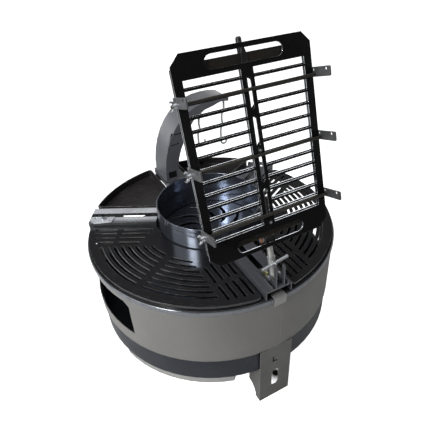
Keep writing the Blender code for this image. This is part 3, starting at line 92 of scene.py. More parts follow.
# Places on the pit
SEAM_ANGLE = math.radians(297.6)
SEAM_STEPS = 60
SEAM_FOOT = 1.5 * MM  # above the band's lower edge
SEAM_SHORTER = 15.0 * MM  # than the band is high
SEAM_ROOT = 0.8 * MM  # into the band's wall
LEFT_RAIL_ANGLE = math.radians(176.0)
# Painted shade on the left rail: darker on its lower shoulder, on its upright walls and along the edges of
# its slot
RAIL_SHOULDER = (16.0 * MM, 27.0 * MM)  # where the painted shade begins and is full, out from the rail's middle
RAIL_SLOT_EDGE = (9.0 * MM, 7.4 * MM)
# The near-black colour of the left rail's painted shade
PAINTED_SHADE_COLOUR = (0.012, 0.013, 0.015)
RIM_THICK = 3.7 * MM
RIM_LIP_WALL = 2.2 * MM
RIM_INNER = 282.0 * MM
RIM_CHAMFER = 0.6 * MM
LIP_CHAMFER = 0.5 * MM
RIM_SEGMENTS = 180
ARM_ANGLE = math.radians(116.0)
# A dark sheet of painted shade inside the arm's foot, behind its slots
LINER_FACE = -198.0 * MM  # just behind the arm's near flange
LINER_SHEET = 0.8 * MM
LINER_OUTLINE = tuple((x * MM, y * MM) for x, y in (
    (-29, 4), (1, 4), (8, 60), (19.5, 100), (31, 136), (-3, 136), (-16, 100), (-25, 60)))

# Shares and tints
FOLDED_EDGE = 1.4  # edge radius of folded sheet, as a share of a cut sheet's
ROUND_EDGE = 2  # of the tube and its grate
SMALL_EDGE = 0.7  # of bolts and nuts
CLIP_TINT = (1.0, 0.98, 0.9)
SOCKET_TINT = (1.0, 0.97, 0.88)  # of the mast's socket and sleeve

# Studio
FLOOR_HALF = 12.0
FLOOR_GAP = 0.2 * MM
LEG_SHADE = (144.0 * MM, -213.0 * MM, 0.0)  # the shaded floor beside the front leg
SHADE_CORE = 7.0 * MM
SHADE_EDGE = 26.0 * MM
LAMP_AIM = Vector((0.0, 0.0, 0.35))
LAMPS = (("key_light", (-1.73, -1.08, 1.62), (2.2, 1.3)),
         ("top_light", (0.0, -0.1, 2.7), (2.4, 2.0)),
         ("front_light", (-1.15, -1.38, 1.70), (0.5, 0.45)))
CAMERA_PLACE = (0.01342, -0.84626, 0.95348)
CAMERA_RIGHT = Vector((0.99815, -0.03503, -0.04967))
CAMERA_UP = Vector((0.06078, 0.57531, 0.81567))
CAMERA_LENS = 34.74
CAMERA_SENSOR = 36.0

# Nodes by finish
BAND_NODES = ("outer_band",)
LEG_NODES = ("leg_front", "leg_rear_right", "leg_rear_left")
PAN_NODES = ("base_pan", "tray_runner_right", "tray_runner_left")
TUBE_NODES = ("fire_tube", "tube_collar")
GRATE_NODES = ("grate_front_left", "grate_right")
GRIDDLE_NODES = ("griddle_left", "griddle_rear")
DARK_RAIL_NODES = ("rail_front", "rail_rear", "rail_arm", "mast_slider", "mast_yoke", "arm_slider",
                   "rear_rail_lug")
CLIP_NODES = ("rail_front_clip", "rail_rear_clip", "rail_arm_clip", "rail_left_clip")
HOOK_NODES = ("hook_inner", "hook_outer")
EAR_NODES = ("right_ear_top", "right_ear_middle", "right_ear_bottom", "left_ear_top",
             "left_ear_middle", "left_ear_bottom")
BRIGHT_NODES = ("rail_end_bolt", "arm_slider_nut", "slider_stud", "pivot_pin", "t_handle_screw",
                "collar_bolt", "wing_nut_top", "wing_nut_middle", "wing_nut_bottom")
COLLAR_NODES = ("basket_collar", "basket_guide", "guide_strap")
ROD_NODES = ("clamp_rod_top", "clamp_rod_middle", "clamp_rod_bottom")


def colour_prop(name, description, value):
    return FloatVectorProperty(name=name, description=description, subtype="COLOR", size=3, min=0.0,
                               max=1.0, default=value)


class FirePitFinishes(bpy.types.PropertyGroup):
    """Colours of the paints and platings."""
    band: colour_prop("Band paint", "Satin grey paint of the band and legs", (0.150, 0.148, 0.142))
    pan: colour_prop("Pan enamel", "Blue-black heat paint of the pan", (0.013, 0.016, 0.023))
    tray: colour_prop("Tray steel", "Pale bare steel of the ash tray", (0.36, 0.36, 0.35))
    hook: colour_prop("Hook steel", "Dull grey steel of the hooks", (0.42, 0.43, 0.44))
    rim: colour_prop("Rim enamel", "Dark paint of the rim ring", (0.020, 0.021, 0.023))
    tube: colour_prop("Tube steel", "Blued steel of the fire tube", (0.17, 0.19, 0.23))
    grate: colour_prop("Grate black", "Black of the slotted plates", (0.009, 0.009, 0.0105))
    griddle: colour_prop("Griddle steel", "Seasoned steel of the solid plates", (0.022, 0.020, 0.022))
    rail: colour_prop("Rail steel", "Dark oiled steel of rails and sliders", (0.125, 0.128, 0.145))
    ear: colour_prop("Ear steel", "Darkened plating of the basket's ears", (0.125, 0.128, 0.132))
    arm: colour_prop("Arm paint", "Blue-grey paint of the hook arm", (0.086, 0.089, 0.102))
    zinc: colour_prop("Zinc plating", "Dull bright plating of rails and fittings", (0.50, 0.52, 0.55))
    basket: colour_prop("Basket black", "Oiled black steel of the basket", (0.0042, 0.0042, 0.0045))
    seasoned: colour_prop("Seasoned brown", "Brown burnt-on oil of the rear grid", (0.013, 0.0115, 0.009))
    yellow: colour_prop("Yellow zinc", "Yellow passivated plating of one wing nut", (0.50, 0.48, 0.20))
    copper: colour_prop("Copper plating", "Copper colour of one lock nut", (0.60, 0.27, 0.16))


class FirePitSizes(bpy.types.PropertyGroup):
    """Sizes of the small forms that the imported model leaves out."""
    edge: FloatProperty(name="Edge radius", description="Rounding along cut sheet edges",
                        default=0.35 * MM, min=0.05 * MM, max=1.0 * MM, unit="LENGTH")
    thread_pitch: FloatProperty(name="Thread pitch", description="Pitch of the bolts' threads",
                                default=1.0 * MM, min=0.5 * MM, max=2.0 * MM, unit="LENGTH")
    rim_roll: FloatProperty(name="Rim roll", description="Radius of the rim's rolled outer edge",
                            default=4.6 * MM, min=1.0 * MM, max=4.6 * MM, unit="LENGTH")
    bolt_head: FloatProperty(name="Bolt head", description="Diameter of the spine's bolt heads",
                             default=5.0 * MM, min=4.0 * MM, max=12.0 * MM, unit="LENGTH")
    seam: FloatProperty(name="Seam", description="Width of the band's welded seam",
                        default=1.6 * MM, min=0.5 * MM, max=3.0 * MM, unit="LENGTH")


class FirePitStudio(bpy.types.PropertyGroup):
    """Floor and lights."""
    floor: colour_prop("Floor", "Plain pale floor", (0.55, 0.55, 0.55))
    glow: FloatProperty(name="Floor glow", description="Light that the floor adds of its own",
                        default=1.0, min=0.0, max=2.0)
    sky: FloatProperty(name="Sky", description="Strength of the soft light from all round",
                       default=0.14, min=0.0, max=5.0)
    horizon: FloatProperty(name="Horizon", description="Strength of the bright band behind, low down",
                           default=3.2, min=0.0, max=10.0)
    key: FloatProperty(name="Key light", description="Power of the large lamp at the left",
                       default=50.0, min=0.0, max=1000.0, unit="POWER")
    top: FloatProperty(name="Top light", description="Power of the lamp overhead",
                       default=22.0, min=0.0, max=1000.0, unit="POWER")
    front: FloatProperty(name="Front light", description="Power of the small bright lamp at the left",
                         default=38.0, min=0.0, max=1000.0, unit="POWER")


# Node groups: each puts out masks or heights only
def new_group(name, inputs, outputs):
    """An empty shader node group with float sockets."""
    tree = bpy.data.node_groups.new(name, "ShaderNodeTree")
    for label, value in inputs:
        socket = tree.interface.new_socket(label, in_out="INPUT", socket_type="NodeSocketFloat")
        socket.default_value = value
    for label in outputs:
        tree.interface.new_socket(label, in_out="OUTPUT", socket_type="NodeSocketFloat")
    return tree, tree.nodes.new("NodeGroupInput"), tree.nodes.new("NodeGroupOutput")


def add(tree, kind, links=(), **settings):
    """A node with its settings, and links given as (input, source socket or value)."""
    node = tree.nodes.new(kind)
    for key, value in settings.items():
        setattr(node, key, value)
    for key, source in links:
        if isinstance(source, bpy.types.NodeSocket):
            tree.links.new(source, node.inputs[key])
        else:
            node.inputs[key].default_value = source
    return node


def math_node(tree, operation, first, second=0.0, clamp=False):
    return add(tree, "ShaderNodeMath", ((0, first), (1, second)), operation=operation,
               use_clamp=clamp).outputs[0]


def noise(tree, vector, scale, detail=4.0, roughness=0.55):
    return add(tree, "ShaderNodeTexNoise", (("Vector", vector), ("Scale", scale), ("Detail", detail),
                                            ("Roughness", roughness))).outputs[0]


def remap(tree, value, low, high, new_low=0.0, new_high=1.0):
    node = add(tree, "ShaderNodeMapRange", (("Value", value), ("From Min", low), ("From Max", high),
                                            ("To Min", new_low), ("To Max", new_high)))
    return node.outputs[0]


def make_wear():
    """Bright wear along edges, broken up by noise."""
    tree, given, result = new_group("edge wear", (("Radius", 0.9 * MM), ("Amount", 0.5),
                                                  ("Breakup", 60.0)), ("Mask",))
    bevel = add(tree, "ShaderNodeBevel", (("Radius", given.outputs["Radius"]),), samples=6)
    plain = add(tree, "ShaderNodeNewGeometry")
    turn = add(tree, "ShaderNodeVectorMath", ((0, bevel.outputs[0]), (1, plain.outputs["Normal"])),
               operation="DOT_PRODUCT").outputs["Value"]
    edge = remap(tree, turn, 0.985, 0.86)
    place = add(tree, "ShaderNodeTexCoord").outputs["Object"]
    patches = noise(tree, place, given.outputs["Breakup"], 5.0, 0.65)
    broken = remap(tree, patches, 0.42, 0.62)
    mask = math_node(tree, "MULTIPLY", edge, broken)
    tree.links.new(math_node(tree, "MULTIPLY", mask, given.outputs["Amount"], True),
                   result.inputs["Mask"])
    return tree


def make_patina():
    """Large uneven patches, small specks, and dust that lies on what faces up."""
    tree, given, result = new_group("patina", (("Scale", 9.0), ("Speck scale", 420.0),
                                               ("Dust", 0.2)), ("Patches", "Specks", "Dust"))
    place = add(tree, "ShaderNodeTexCoord").outputs["Object"]
    patches = noise(tree, place, given.outputs["Scale"], 6.0, 0.6)
    tree.links.new(remap(tree, patches, 0.34, 0.66), result.inputs["Patches"])
    specks = noise(tree, place, given.outputs["Speck scale"], 2.0, 0.5)
    tree.links.new(remap(tree, specks, 0.62, 0.74), result.inputs["Specks"])
    normal = add(tree, "ShaderNodeNewGeometry").outputs["Normal"]
    upward = add(tree, "ShaderNodeSeparateXYZ", (("Vector", normal),)).outputs["Z"]
    settled = remap(tree, upward, 0.35, 1.0)
    soft = noise(tree, place, 34.0, 7.0, 0.7)
    dusty = math_node(tree, "MULTIPLY", settled, remap(tree, soft, 0.40, 0.72))
    tree.links.new(math_node(tree, "MULTIPLY", dusty, given.outputs["Dust"], True),
                   result.inputs["Dust"])
    return tree


def make_scratches():
    """Fine straight scratches and handling marks in two directions."""
    tree, given, result = new_group("scratches", (("Scale", 60.0), ("Stretch", 14.0),
                                                  ("Amount", 0.5)), ("Mask",))
    place = add(tree, "ShaderNodeTexCoord").outputs["Object"]
    masks = []
    for turn in ((0.4, 0.9, 0.5), (1.9, 0.3, 2.2)):
        squeeze = add(tree, "ShaderNodeCombineXYZ", (("X", 1.0), ("Y", given.outputs["Stretch"]),
                                                     ("Z", given.outputs["Stretch"]))).outputs[0]
        spot = add(tree, "ShaderNodeMapping", (("Vector", place), ("Rotation", turn),
                                               ("Scale", squeeze))).outputs[0]
        lines = noise(tree, spot, given.outputs["Scale"], 2.0, 0.45)
        masks.append(remap(tree, lines, 0.66, 0.72))
    both = math_node(tree, "MAXIMUM", masks[0], masks[1])
    tree.links.new(math_node(tree, "MULTIPLY", both, given.outputs["Amount"], True),
                   result.inputs["Mask"])
    return tree


def make_peel():
    """The height of sprayed paint: orange peel with a finer grit."""
    tree, given, result = new_group("paint texture", (("Scale", 520.0), ("Grit", 0.4)), ("Height",))
    place = add(tree, "ShaderNodeTexCoord").outputs["Object"]
    waves = noise(tree, place, given.outputs["Scale"], 1.0, 0.4)
    fine = math_node(tree, "MULTIPLY", given.outputs["Scale"], 3.7)
    grit = math_node(tree, "MULTIPLY", noise(tree, place, fine, 2.0, 0.6), given.outputs["Grit"])
    tree.links.new(math_node(tree, "ADD", waves, grit), result.inputs["Height"])
    return tree


def make_cut_edge():
    """Finds the cut edges of a flat sheet, from the direction that the sheet faces."""
    tree, given, result = new_group("cut edge", (("X", 0.0), ("Y", 0.0), ("Z", 1.0), ("Amount", 1.0)),
                                    ("Mask",))
    spot = add(tree, "ShaderNodeTexCoord")
    face = add(tree, "ShaderNodeCombineXYZ", (("X", given.outputs["X"]), ("Y", given.outputs["Y"]),
                                              ("Z", given.outputs["Z"]))).outputs[0]
    turn = add(tree, "ShaderNodeVectorMath", ((0, spot.outputs["Normal"]), (1, face)),
               operation="DOT_PRODUCT").outputs["Value"]
    edge = remap(tree, math_node(tree, "ABSOLUTE", turn), 0.80, 0.60)
    patches = noise(tree, spot.outputs["Object"], 90.0, 3.0, 0.6)
    broken = remap(tree, patches, 0.30, 0.50, 0.6, 1.0)
    mask = math_node(tree, "MULTIPLY", edge, broken)
    tree.links.new(math_node(tree, "MULTIPLY", mask, given.outputs["Amount"], True),
                   result.inputs["Mask"])
    return tree


GROUPS = {}


def group(tree, name, **values):
    """Places a shared effect in a material with its own values."""
    if not GROUPS:
        for made in (make_wear(), make_patina(), make_scratches(), make_peel(), make_cut_edge()):
            GROUPS[made.name] = made
    node = tree.nodes.new("ShaderNodeGroup")
    node.node_tree = GROUPS[name]
    for key, value in values.items():
        node.inputs[key.replace("_", " ")].default_value = value
    return node.outputs


def blend(tree, factor, first, second):
    """A colour between two colours or sockets."""
    node = add(tree, "ShaderNodeMix", data_type="RGBA")
    for socket, value in ((node.inputs["Factor"], factor), (node.inputs[6], first),
                          (node.inputs[7], second)):
        if isinstance(value, bpy.types.NodeSocket):
            tree.links.new(value, socket)
        else:
            socket.default_value = value if isinstance(value, float) else (*value[:3], 1.0)
    return node.outputs[2]


def scaled(colour, share, tint=(1.0, 1.0, 1.0)):
    return tuple(min(1.0, part * share * hue) for part, hue in zip(colour, tint))


DUST = (0.105, 0.105, 0.115)
BARE = (0.46, 0.45, 0.43)
BRIGHT_EDGE = (0.72, 0.75, 0.79)


def make_finish(name, colour, metallic=0.3, rough=(0.40, 0.55), second=None, patch_scale=9.0,
                dust=0.15, wear=0.5, wear_radius=0.9 * MM, breakup=60.0, scratch=0.35,
                peel=520.0, bump=0.08, specks=0.25, shine=0.5, bare=BARE, facing=None, cut_edge=1.0):
    """One painted or plated steel finish: base colour, patina, specks, dust, scratches and edge wear.

    A flat sheet that says which way it faces also gets bare cut edges."""
    material = bpy.data.materials.new(name)
    material.use_nodes = True
    tree = material.node_tree
    shader = tree.nodes["Principled BSDF"]
    patina = group(tree, "patina", Scale=patch_scale, Dust=dust)
    worn = group(tree, "edge wear", Radius=wear_radius, Amount=wear, Breakup=breakup)["Mask"]
    if facing:
        edges = group(tree, "cut edge", X=facing[0], Y=facing[1], Z=facing[2], Amount=cut_edge)["Mask"]
        worn = math_node(tree, "MAXIMUM", worn, edges)
    marks = group(tree, "scratches", Amount=scratch)["Mask"]
    second = second or scaled(colour, 0.78)
    base = blend(tree, patina["Patches"], colour, second)
    speck = math_node(tree, "MULTIPLY", patina["Specks"], specks)
    base = blend(tree, speck, base, scaled(colour, 1.7))
    base = blend(tree, patina["Dust"], base, DUST)
    base = blend(tree, math_node(tree, "MULTIPLY", marks, 0.5), base, scaled(bare, 0.6))
    base = blend(tree, worn, base, bare)
    tree.links.new(base, shader.inputs["Base Color"])
    rough_base = remap(tree, patina["Patches"], 0.0, 1.0, *rough)
    rough_dust = math_node(tree, "ADD", rough_base, math_node(tree, "MULTIPLY", patina["Dust"], 0.35))
    tree.links.new(math_node(tree, "SUBTRACT", rough_dust, math_node(tree, "MULTIPLY", worn, 0.12), True),
                   shader.inputs["Roughness"])
    tree.links.new(remap(tree, worn, 0.0, 1.0, metallic, 1.0), shader.inputs["Metallic"])
    height = group(tree, "paint texture", Scale=peel)["Height"]
    height = math_node(tree, "SUBTRACT", height, math_node(tree, "MULTIPLY", marks, 0.6))
    bumped = add(tree, "ShaderNodeBump", (("Strength", bump), ("Distance", 0.4 * MM), ("Height", height)))
    tree.links.new(bumped.outputs[0], shader.inputs["Normal"])
    shader.inputs["Specular IOR Level"].default_value = shine
    material.diffuse_color = (*colour, 1.0)
    return material


def soften(node, width, segments=2):
    """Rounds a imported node's cut edges with modifiers."""
    joined = node.modifiers.new("join", "WELD")
    joined.merge_threshold = 0.00002
    rounded = node.modifiers.new("round", "BEVEL")
    rounded.width = width
    rounded.segments = segments
    rounded.limit_method = "ANGLE"
    rounded.angle_limit = math.radians(32)
    rounded.use_clamp_overlap = True
    rounded.miter_outer = "MITER_ARC"
    weighted = node.modifiers.new("shade", "WEIGHTED_NORMAL")
    weighted.weight = 60


def dress(names, material, width=None):
    for name in names:
        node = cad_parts[name]
        node.data.materials.clear()
        node.data.materials.append(material)
        if width:
            soften(node, width)


def mast_frame():
    across = Vector((0.0, 1.0, 0.0))
    along = Vector((-math.sin(MAST_LEAN), 0.0, math.cos(MAST_LEAN)))
    turn = Matrix((across, along, across.cross(along))).transposed().to_4x4()
    front = Matrix.Rotation(RAIL_ANGLE, 4, "Z")
    return front @ Matrix.Translation((MAST_PIVOT[0], 0.0, MAST_PIVOT[1])) @ turn


def out_of_basket():
    """The direction that the basket's sheets face."""
    return tuple((mast_frame().to_3x3() @ Vector((0.0, 0.0, 1.0))).normalized())


def lathe(profile, segments=28):
    """A mesh turned about Z from (radius, height) points; a radius of zero closes it."""
    made = bmesh.new()
    rings = []
    for radius, height in profile:
        count = segments if radius > 0 else 1
        rings.append([made.verts.new((radius * math.cos(math.tau * i / segments),
                                      radius * math.sin(math.tau * i / segments), height))
                      for i in range(count)])
    for lower, upper in zip(rings, rings[1:]):
        for i in range(segments):
            j = (i + 1) % segments
            corners = [lower[i % len(lower)], lower[j % len(lower)], upper[j % len(upper)],
                       upper[i % len(upper)]]
            made.faces.new(list(dict.fromkeys(corners)))
    bmesh.ops.remove_doubles(made, verts=made.verts, dist=0.001 * MM)
    bmesh.ops.recalc_face_normals(made, faces=made.faces)
    return made


def skin(made, rows):
    """Joins rows of points into a bar that is closed at both ends."""
    count = len(rows[0])
    for first, second in zip(rows, rows[1:]):
        for k in range(count):
            n = (k + 1) % count
            made.faces.new((first[k], first[n], second[n], second[k]))
    made.faces.new(rows[0])
    made.faces.new(rows[-1][::-1])
    bmesh.ops.recalc_face_normals(made, faces=made.faces)
    return made


def helix(start, end, radius, pitch, rise):
    """A thread's ridge from start to end along Z, closed at both ends."""
    made = bmesh.new()
    count = max(THREAD_SIDES, int((end - start) / pitch * THREAD_SIDES))
    rows = []
    for i in range(count + 1):
        angle = math.tau * i / THREAD_SIDES
        level = start + (end - start) * i / count
        taper = min(1.0, i / THREAD_RUN_OUT, (count - i) / THREAD_RUN_OUT)
        section = ((radius - THREAD_ROOT, -THREAD_SPREAD * pitch), (radius + rise * taper, 0.0),
                   (radius - THREAD_ROOT, THREAD_SPREAD * pitch))
        rows.append([made.verts.new((r * math.cos(angle), r * math.sin(angle), level + z))
                     for r, z in section])
    return skin(made, rows)


def piece(name, shape, place, body, material):
    """Puts a bmesh in place as a piece that rides on a body."""
    mesh = bpy.data.meshes.new(name)
    shape.to_mesh(mesh)
    shape.free()
    mesh.transform(place)
    for face in mesh.polygons:
        face.use_smooth = True
    mesh.materials.append(material)
    made = bpy.data.objects.new(name, mesh)
    bpy.context.scene.collection.objects.link(made)
    rounded = made.modifiers.new("round", "BEVEL")
    rounded.width = 0.2 * MM
    rounded.segments = 2
    rounded.limit_method = "ANGLE"
    made.modifiers.new("shade", "WEIGHTED_NORMAL")
    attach(made, body)
    return made


def settings():
    return bpy.context.scene.fire_pit_finishes, bpy.context.scene.fire_pit_sizes


class FIREPIT_OT_pit(bpy.types.Operator):
    """Paints the band, legs, pan, rim and ash tray"""
    bl_idname = "firepit.pit"
    bl_label = "Pit"

    def execute(self, context):
        colours, sizes = settings()
        band = make_finish("band_paint", tuple(colours.band), 0.25, (0.40, 0.50), patch_scale=5.0,
                           second=scaled(colours.band, 0.86), dust=0.05, wear=0.6, scratch=0.25,
                           peel=700.0, bump=0.05, specks=0.3, shine=0.4)
        pan = make_finish("pan_enamel", tuple(colours.pan), 0.2, (0.36, 0.48), dust=0.06, wear=0.6,
                          scratch=0.2, bump=0.05, shine=0.25)
        rim = make_finish("rim_enamel", tuple(colours.rim), 0.5, (0.12, 0.20), dust=0.04, wear=0.7,
                          scratch=0.3, bump=0.03, facing=(0.0, 0.0, 1.0), cut_edge=0.30,
                          bare=(0.50, 0.53, 0.58))
        tray = make_finish("tray_steel", tuple(colours.tray), 0.6, (0.30, 0.45), dust=0.10, wear=0.5,
                           scratch=0.5, bump=0.04)
        # The legs take the band's paint darkened to six tenths, as painted shade
        legs = make_finish("leg_painted_shade", scaled(colours.band, 0.6), 0.25, (0.40, 0.50), patch_scale=8.0,
                           dust=0.05, wear=0.9, scratch=0.4, peel=700.0, bump=0.05, specks=0.3,
                           shine=0.4)
        dress(BAND_NODES, band, sizes.edge)
        dress(LEG_NODES, legs, sizes.edge)
        dress(PAN_NODES, pan, sizes.edge)
        low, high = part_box("rim_ring")
        outer, roll = high.x, sizes.rim_roll
        lip = outer - RIM_LIP_WALL
        under = high.z - RIM_THICK
        bend = [(outer - roll + roll * math.cos(angle), high.z - roll + roll * math.sin(angle))
                for angle in [math.radians(step) for step in range(0, 91, 10)]]
        ring = lathe((*bend, (RIM_INNER + RIM_CHAMFER, high.z), (RIM_INNER, high.z - RIM_CHAMFER),
                      (RIM_INNER, under), (lip, under), (lip, low.z), (outer - LIP_CHAMFER, low.z),
                      (outer, low.z + LIP_CHAMFER), bend[0]), RIM_SEGMENTS)
        rounded = piece("rim_rolled", ring, Matrix.Identity(4), "pit", rim)
        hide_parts("rim_ring")
        dress(("ash_tray",), tray, sizes.edge)
        return {"FINISHED"}


class FIREPIT_OT_seam(bpy.types.Operator):
    """Adds the upright welded seam of the band beside the front leg"""
    bl_idname = "firepit.seam"
    bl_label = "Band seam"

    def execute(self, context):
        colours, sizes = settings()
        low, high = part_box("outer_band")
        radius = high.x
        half = sizes.seam / 2
        bead = bmesh.new()
        rows = []
        for i in range(SEAM_STEPS + 1):
            level = low.z + SEAM_FOOT + (high.z - low.z - SEAM_SHORTER) * i / SEAM_STEPS
            ripple = 0.06 * MM * math.sin(i * 2.4)
            wide = half * (1 + 0.12 * math.sin(i * 1.7))
            side, crown = radius + 0.16 * MM + ripple, radius + 0.26 * MM + ripple
            section = ((radius - SEAM_ROOT, -wide), (side, -wide * 0.5), (crown, 0.0),
                       (side, wide * 0.5), (radius - SEAM_ROOT, wide))
            rows.append([bead.verts.new((x, y, level)) for x, y in section])
        skin(bead, rows)
        paint = make_finish("seam_paint", scaled(colours.band, 1.25), 0.3, (0.36, 0.46), peel=900.0,
                            wear=0.7, bump=0.10)
        piece("band_seam", bead, Matrix.Rotation(SEAM_ANGLE, 4, "Z"), "pit", paint)
        return {"FINISHED"}


class FIREPIT_OT_tube(bpy.types.Operator):
    """Paints the fire tube, its collar and the swirl grate"""
    bl_idname = "firepit.tube"
    bl_label = "Fire tube"

    def execute(self, context):
        colours, sizes = settings()
        tube = make_finish("tube_steel", tuple(colours.tube), 0.92, (0.13, 0.19), patch_scale=7.0,
                           second=scaled(colours.tube, 0.8), dust=0.02, wear=0.5, scratch=0.2, bump=0.02)
        swirl = make_finish("swirl_steel", scaled(colours.tube, 0.8), 0.92, (0.20, 0.32), patch_scale=20.0,
                            second=scaled(colours.tube, 0.5), dust=0.05, wear=0.8, scratch=0.3, bump=0.05)
        dress(TUBE_NODES, tube, sizes.edge * ROUND_EDGE)
        dress(("swirl_grate",), swirl, sizes.edge * ROUND_EDGE)
        return {"FINISHED"}


class FIREPIT_OT_plates(bpy.types.Operator):
    """Finishes the slotted grates and the griddles"""
    bl_idname = "firepit.plates"
    bl_label = "Cooking plates"

    def execute(self, context):
        colours, sizes = settings()
        grate = make_finish("grate_black", tuple(colours.grate), 0.30, (0.12, 0.22), patch_scale=14.0,
                            dust=0.02, wear=0.8, wear_radius=1.0 * MM, breakup=40.0, scratch=0.2,
                            bump=0.03, shine=0.8)
        griddle = make_finish("griddle_steel", tuple(colours.griddle), 0.45, (0.34, 0.50),
                              second=scaled(colours.griddle, 0.6, (1.1, 1.0, 0.9)), patch_scale=18.0,
                              dust=0.12, wear=0.9, wear_radius=1.4 * MM, scratch=0.6, bump=0.06, shine=0.35)
        dress(GRATE_NODES, grate, sizes.edge)
        dress(GRIDDLE_NODES, griddle, sizes.edge)
        return {"FINISHED"}


class FIREPIT_OT_rails(bpy.types.Operator):
    """Finishes the rails, clips, sliders, hooks, ears and mast fittings"""
    bl_idname = "firepit.rails"
    bl_label = "Rails and mast"

    def execute(self, context):
        colours, sizes = settings()
        zinc = tuple(colours.zinc)
        dark = make_finish("rail_steel", tuple(colours.rail), 0.75, (0.26, 0.40), patch_scale=22.0,
                           dust=0.10, wear=0.9, wear_radius=1.2 * MM, scratch=0.5, bump=0.04)
        rail = make_finish("rail_zinc", scaled(zinc, 1.2), 0.45, (0.20, 0.36), second=scaled(zinc, 0.75),
                           patch_scale=14.0, dust=0.05, wear=0.9, scratch=0.6, bump=0.05)
        # The left rail's plating is darkened as painted shade on its lower shoulder, on its upright walls
        # and along the edges of its slot
        painted_shade_rail = rail.copy()
        painted_shade_rail.name = "rail_zinc_painted_shade"
        tree = painted_shade_rail.node_tree
        spot = add(tree, "ShaderNodeTexCoord")
        side = (-math.sin(LEFT_RAIL_ANGLE), math.cos(LEFT_RAIL_ANGLE), 0.0)
        across = add(tree, "ShaderNodeVectorMath", ((0, spot.outputs["Object"]), (1, side)),
                     operation="DOT_PRODUCT").outputs["Value"]
        shoulder = remap(tree, across, *RAIL_SHOULDER, 0.0, 0.75)
        slot_edge = remap(tree, math_node(tree, "ABSOLUTE", across), *RAIL_SLOT_EDGE)
        upward = add(tree, "ShaderNodeSeparateXYZ", (("Vector", spot.outputs["Normal"]),)).outputs["Z"]
        wall = remap(tree, math_node(tree, "ABSOLUTE", upward), 0.7, 0.4, 0.0, 0.95)
        painted_shade = math_node(tree, "MAXIMUM", math_node(tree, "MAXIMUM", shoulder, slot_edge), wall)
        shader = tree.nodes["Principled BSDF"]
        plating = shader.inputs["Base Color"].links[0].from_socket
        tree.links.new(blend(tree, painted_shade, plating, PAINTED_SHADE_COLOUR), shader.inputs["Base Color"])
        clip = make_finish("clip_zinc", scaled(zinc, 0.55, CLIP_TINT), 0.6, (0.35, 0.50),
                           patch_scale=40.0, dust=0.10, wear=0.8, bump=0.05)
        socket = make_finish("socket_zinc", scaled(zinc, 0.8, SOCKET_TINT), 0.7, (0.28, 0.42),
                             patch_scale=30.0, second=scaled(zinc, 0.4, (1.0, 0.97, 0.9)), dust=0.10,
                             wear=0.4, bump=0.05)
        mast = make_finish("mast_steel", (0.022, 0.022, 0.023), 0.75, (0.24, 0.36), patch_scale=30.0,
                           dust=0.05, wear=0.8, bump=0.04)
        tree = mast.node_tree
        level = add(tree, "ShaderNodeSeparateXYZ",
                    (("Vector", add(tree, "ShaderNodeTexCoord").outputs["Object"]),)).outputs["Z"]
        sleeve = remap(tree, level, SLEEVE_TOP + 0.5 * MM, SLEEVE_TOP - 0.5 * MM)
        shader = tree.nodes["Principled BSDF"]
        dark_part = shader.inputs["Base Color"].links[0].from_socket
        tree.links.new(blend(tree, sleeve, dark_part, scaled(zinc, 0.8, SOCKET_TINT)),
                       shader.inputs["Base Color"])
        hook = make_finish("hook_steel", tuple(colours.hook), 0.45, (0.38, 0.50), patch_scale=50.0,
                           dust=0.05, wear=0.6, bump=0.05)
        ear = make_finish("ear_steel", tuple(colours.ear), 0.75, (0.32, 0.46), patch_scale=40.0,
                          second=scaled(colours.ear, 0.5), dust=0.10, wear=0.8, bump=0.06)
        bright = make_finish("bright_zinc", scaled(zinc, 1.15), 0.95, (0.22, 0.34), patch_scale=60.0,
                             second=scaled(zinc, 0.8), dust=0.05, wear=0.3, bump=0.04)
        dress(DARK_RAIL_NODES, dark, sizes.edge * FOLDED_EDGE)
        dress(("rail_left",), painted_shade_rail, sizes.edge * FOLDED_EDGE)
        dress(("rail_end_plate",), rail, sizes.edge * FOLDED_EDGE)
        dress(CLIP_NODES, clip, sizes.edge * FOLDED_EDGE)
        dress(("mast_socket",), socket, sizes.edge)
        dress(("mast_rod",), mast, sizes.edge)
        dress(HOOK_NODES, hook)
        dress(EAR_NODES, ear, sizes.edge)
        dress(BRIGHT_NODES, bright, sizes.edge * SMALL_EDGE)
        yellow = make_finish("yellow_zinc", tuple(colours.yellow), 0.9, (0.28, 0.40), dust=0.05)
        copper = make_finish("copper_plate", tuple(colours.copper), 0.9, (0.28, 0.42), dust=0.05)
        dress(("slider_wing_nut",), yellow, sizes.edge * SMALL_EDGE)
        dress(("collar_nut",), copper, sizes.edge * SMALL_EDGE)
        return {"FINISHED"}


class FIREPIT_OT_arm(bpy.types.Operator):
    """Paints the hook arm"""
    bl_idname = "firepit.arm"
    bl_label = "Hook arm"

    def execute(self, context):
        colours, sizes = settings()
        arm = make_finish("arm_paint", tuple(colours.arm), 0.20, (0.34, 0.46), patch_scale=10.0,
                          dust=0.05, wear=0.6, scratch=0.35, bump=0.04)
        dress(("hook_arm",), arm, sizes.edge)
        return {"FINISHED"}


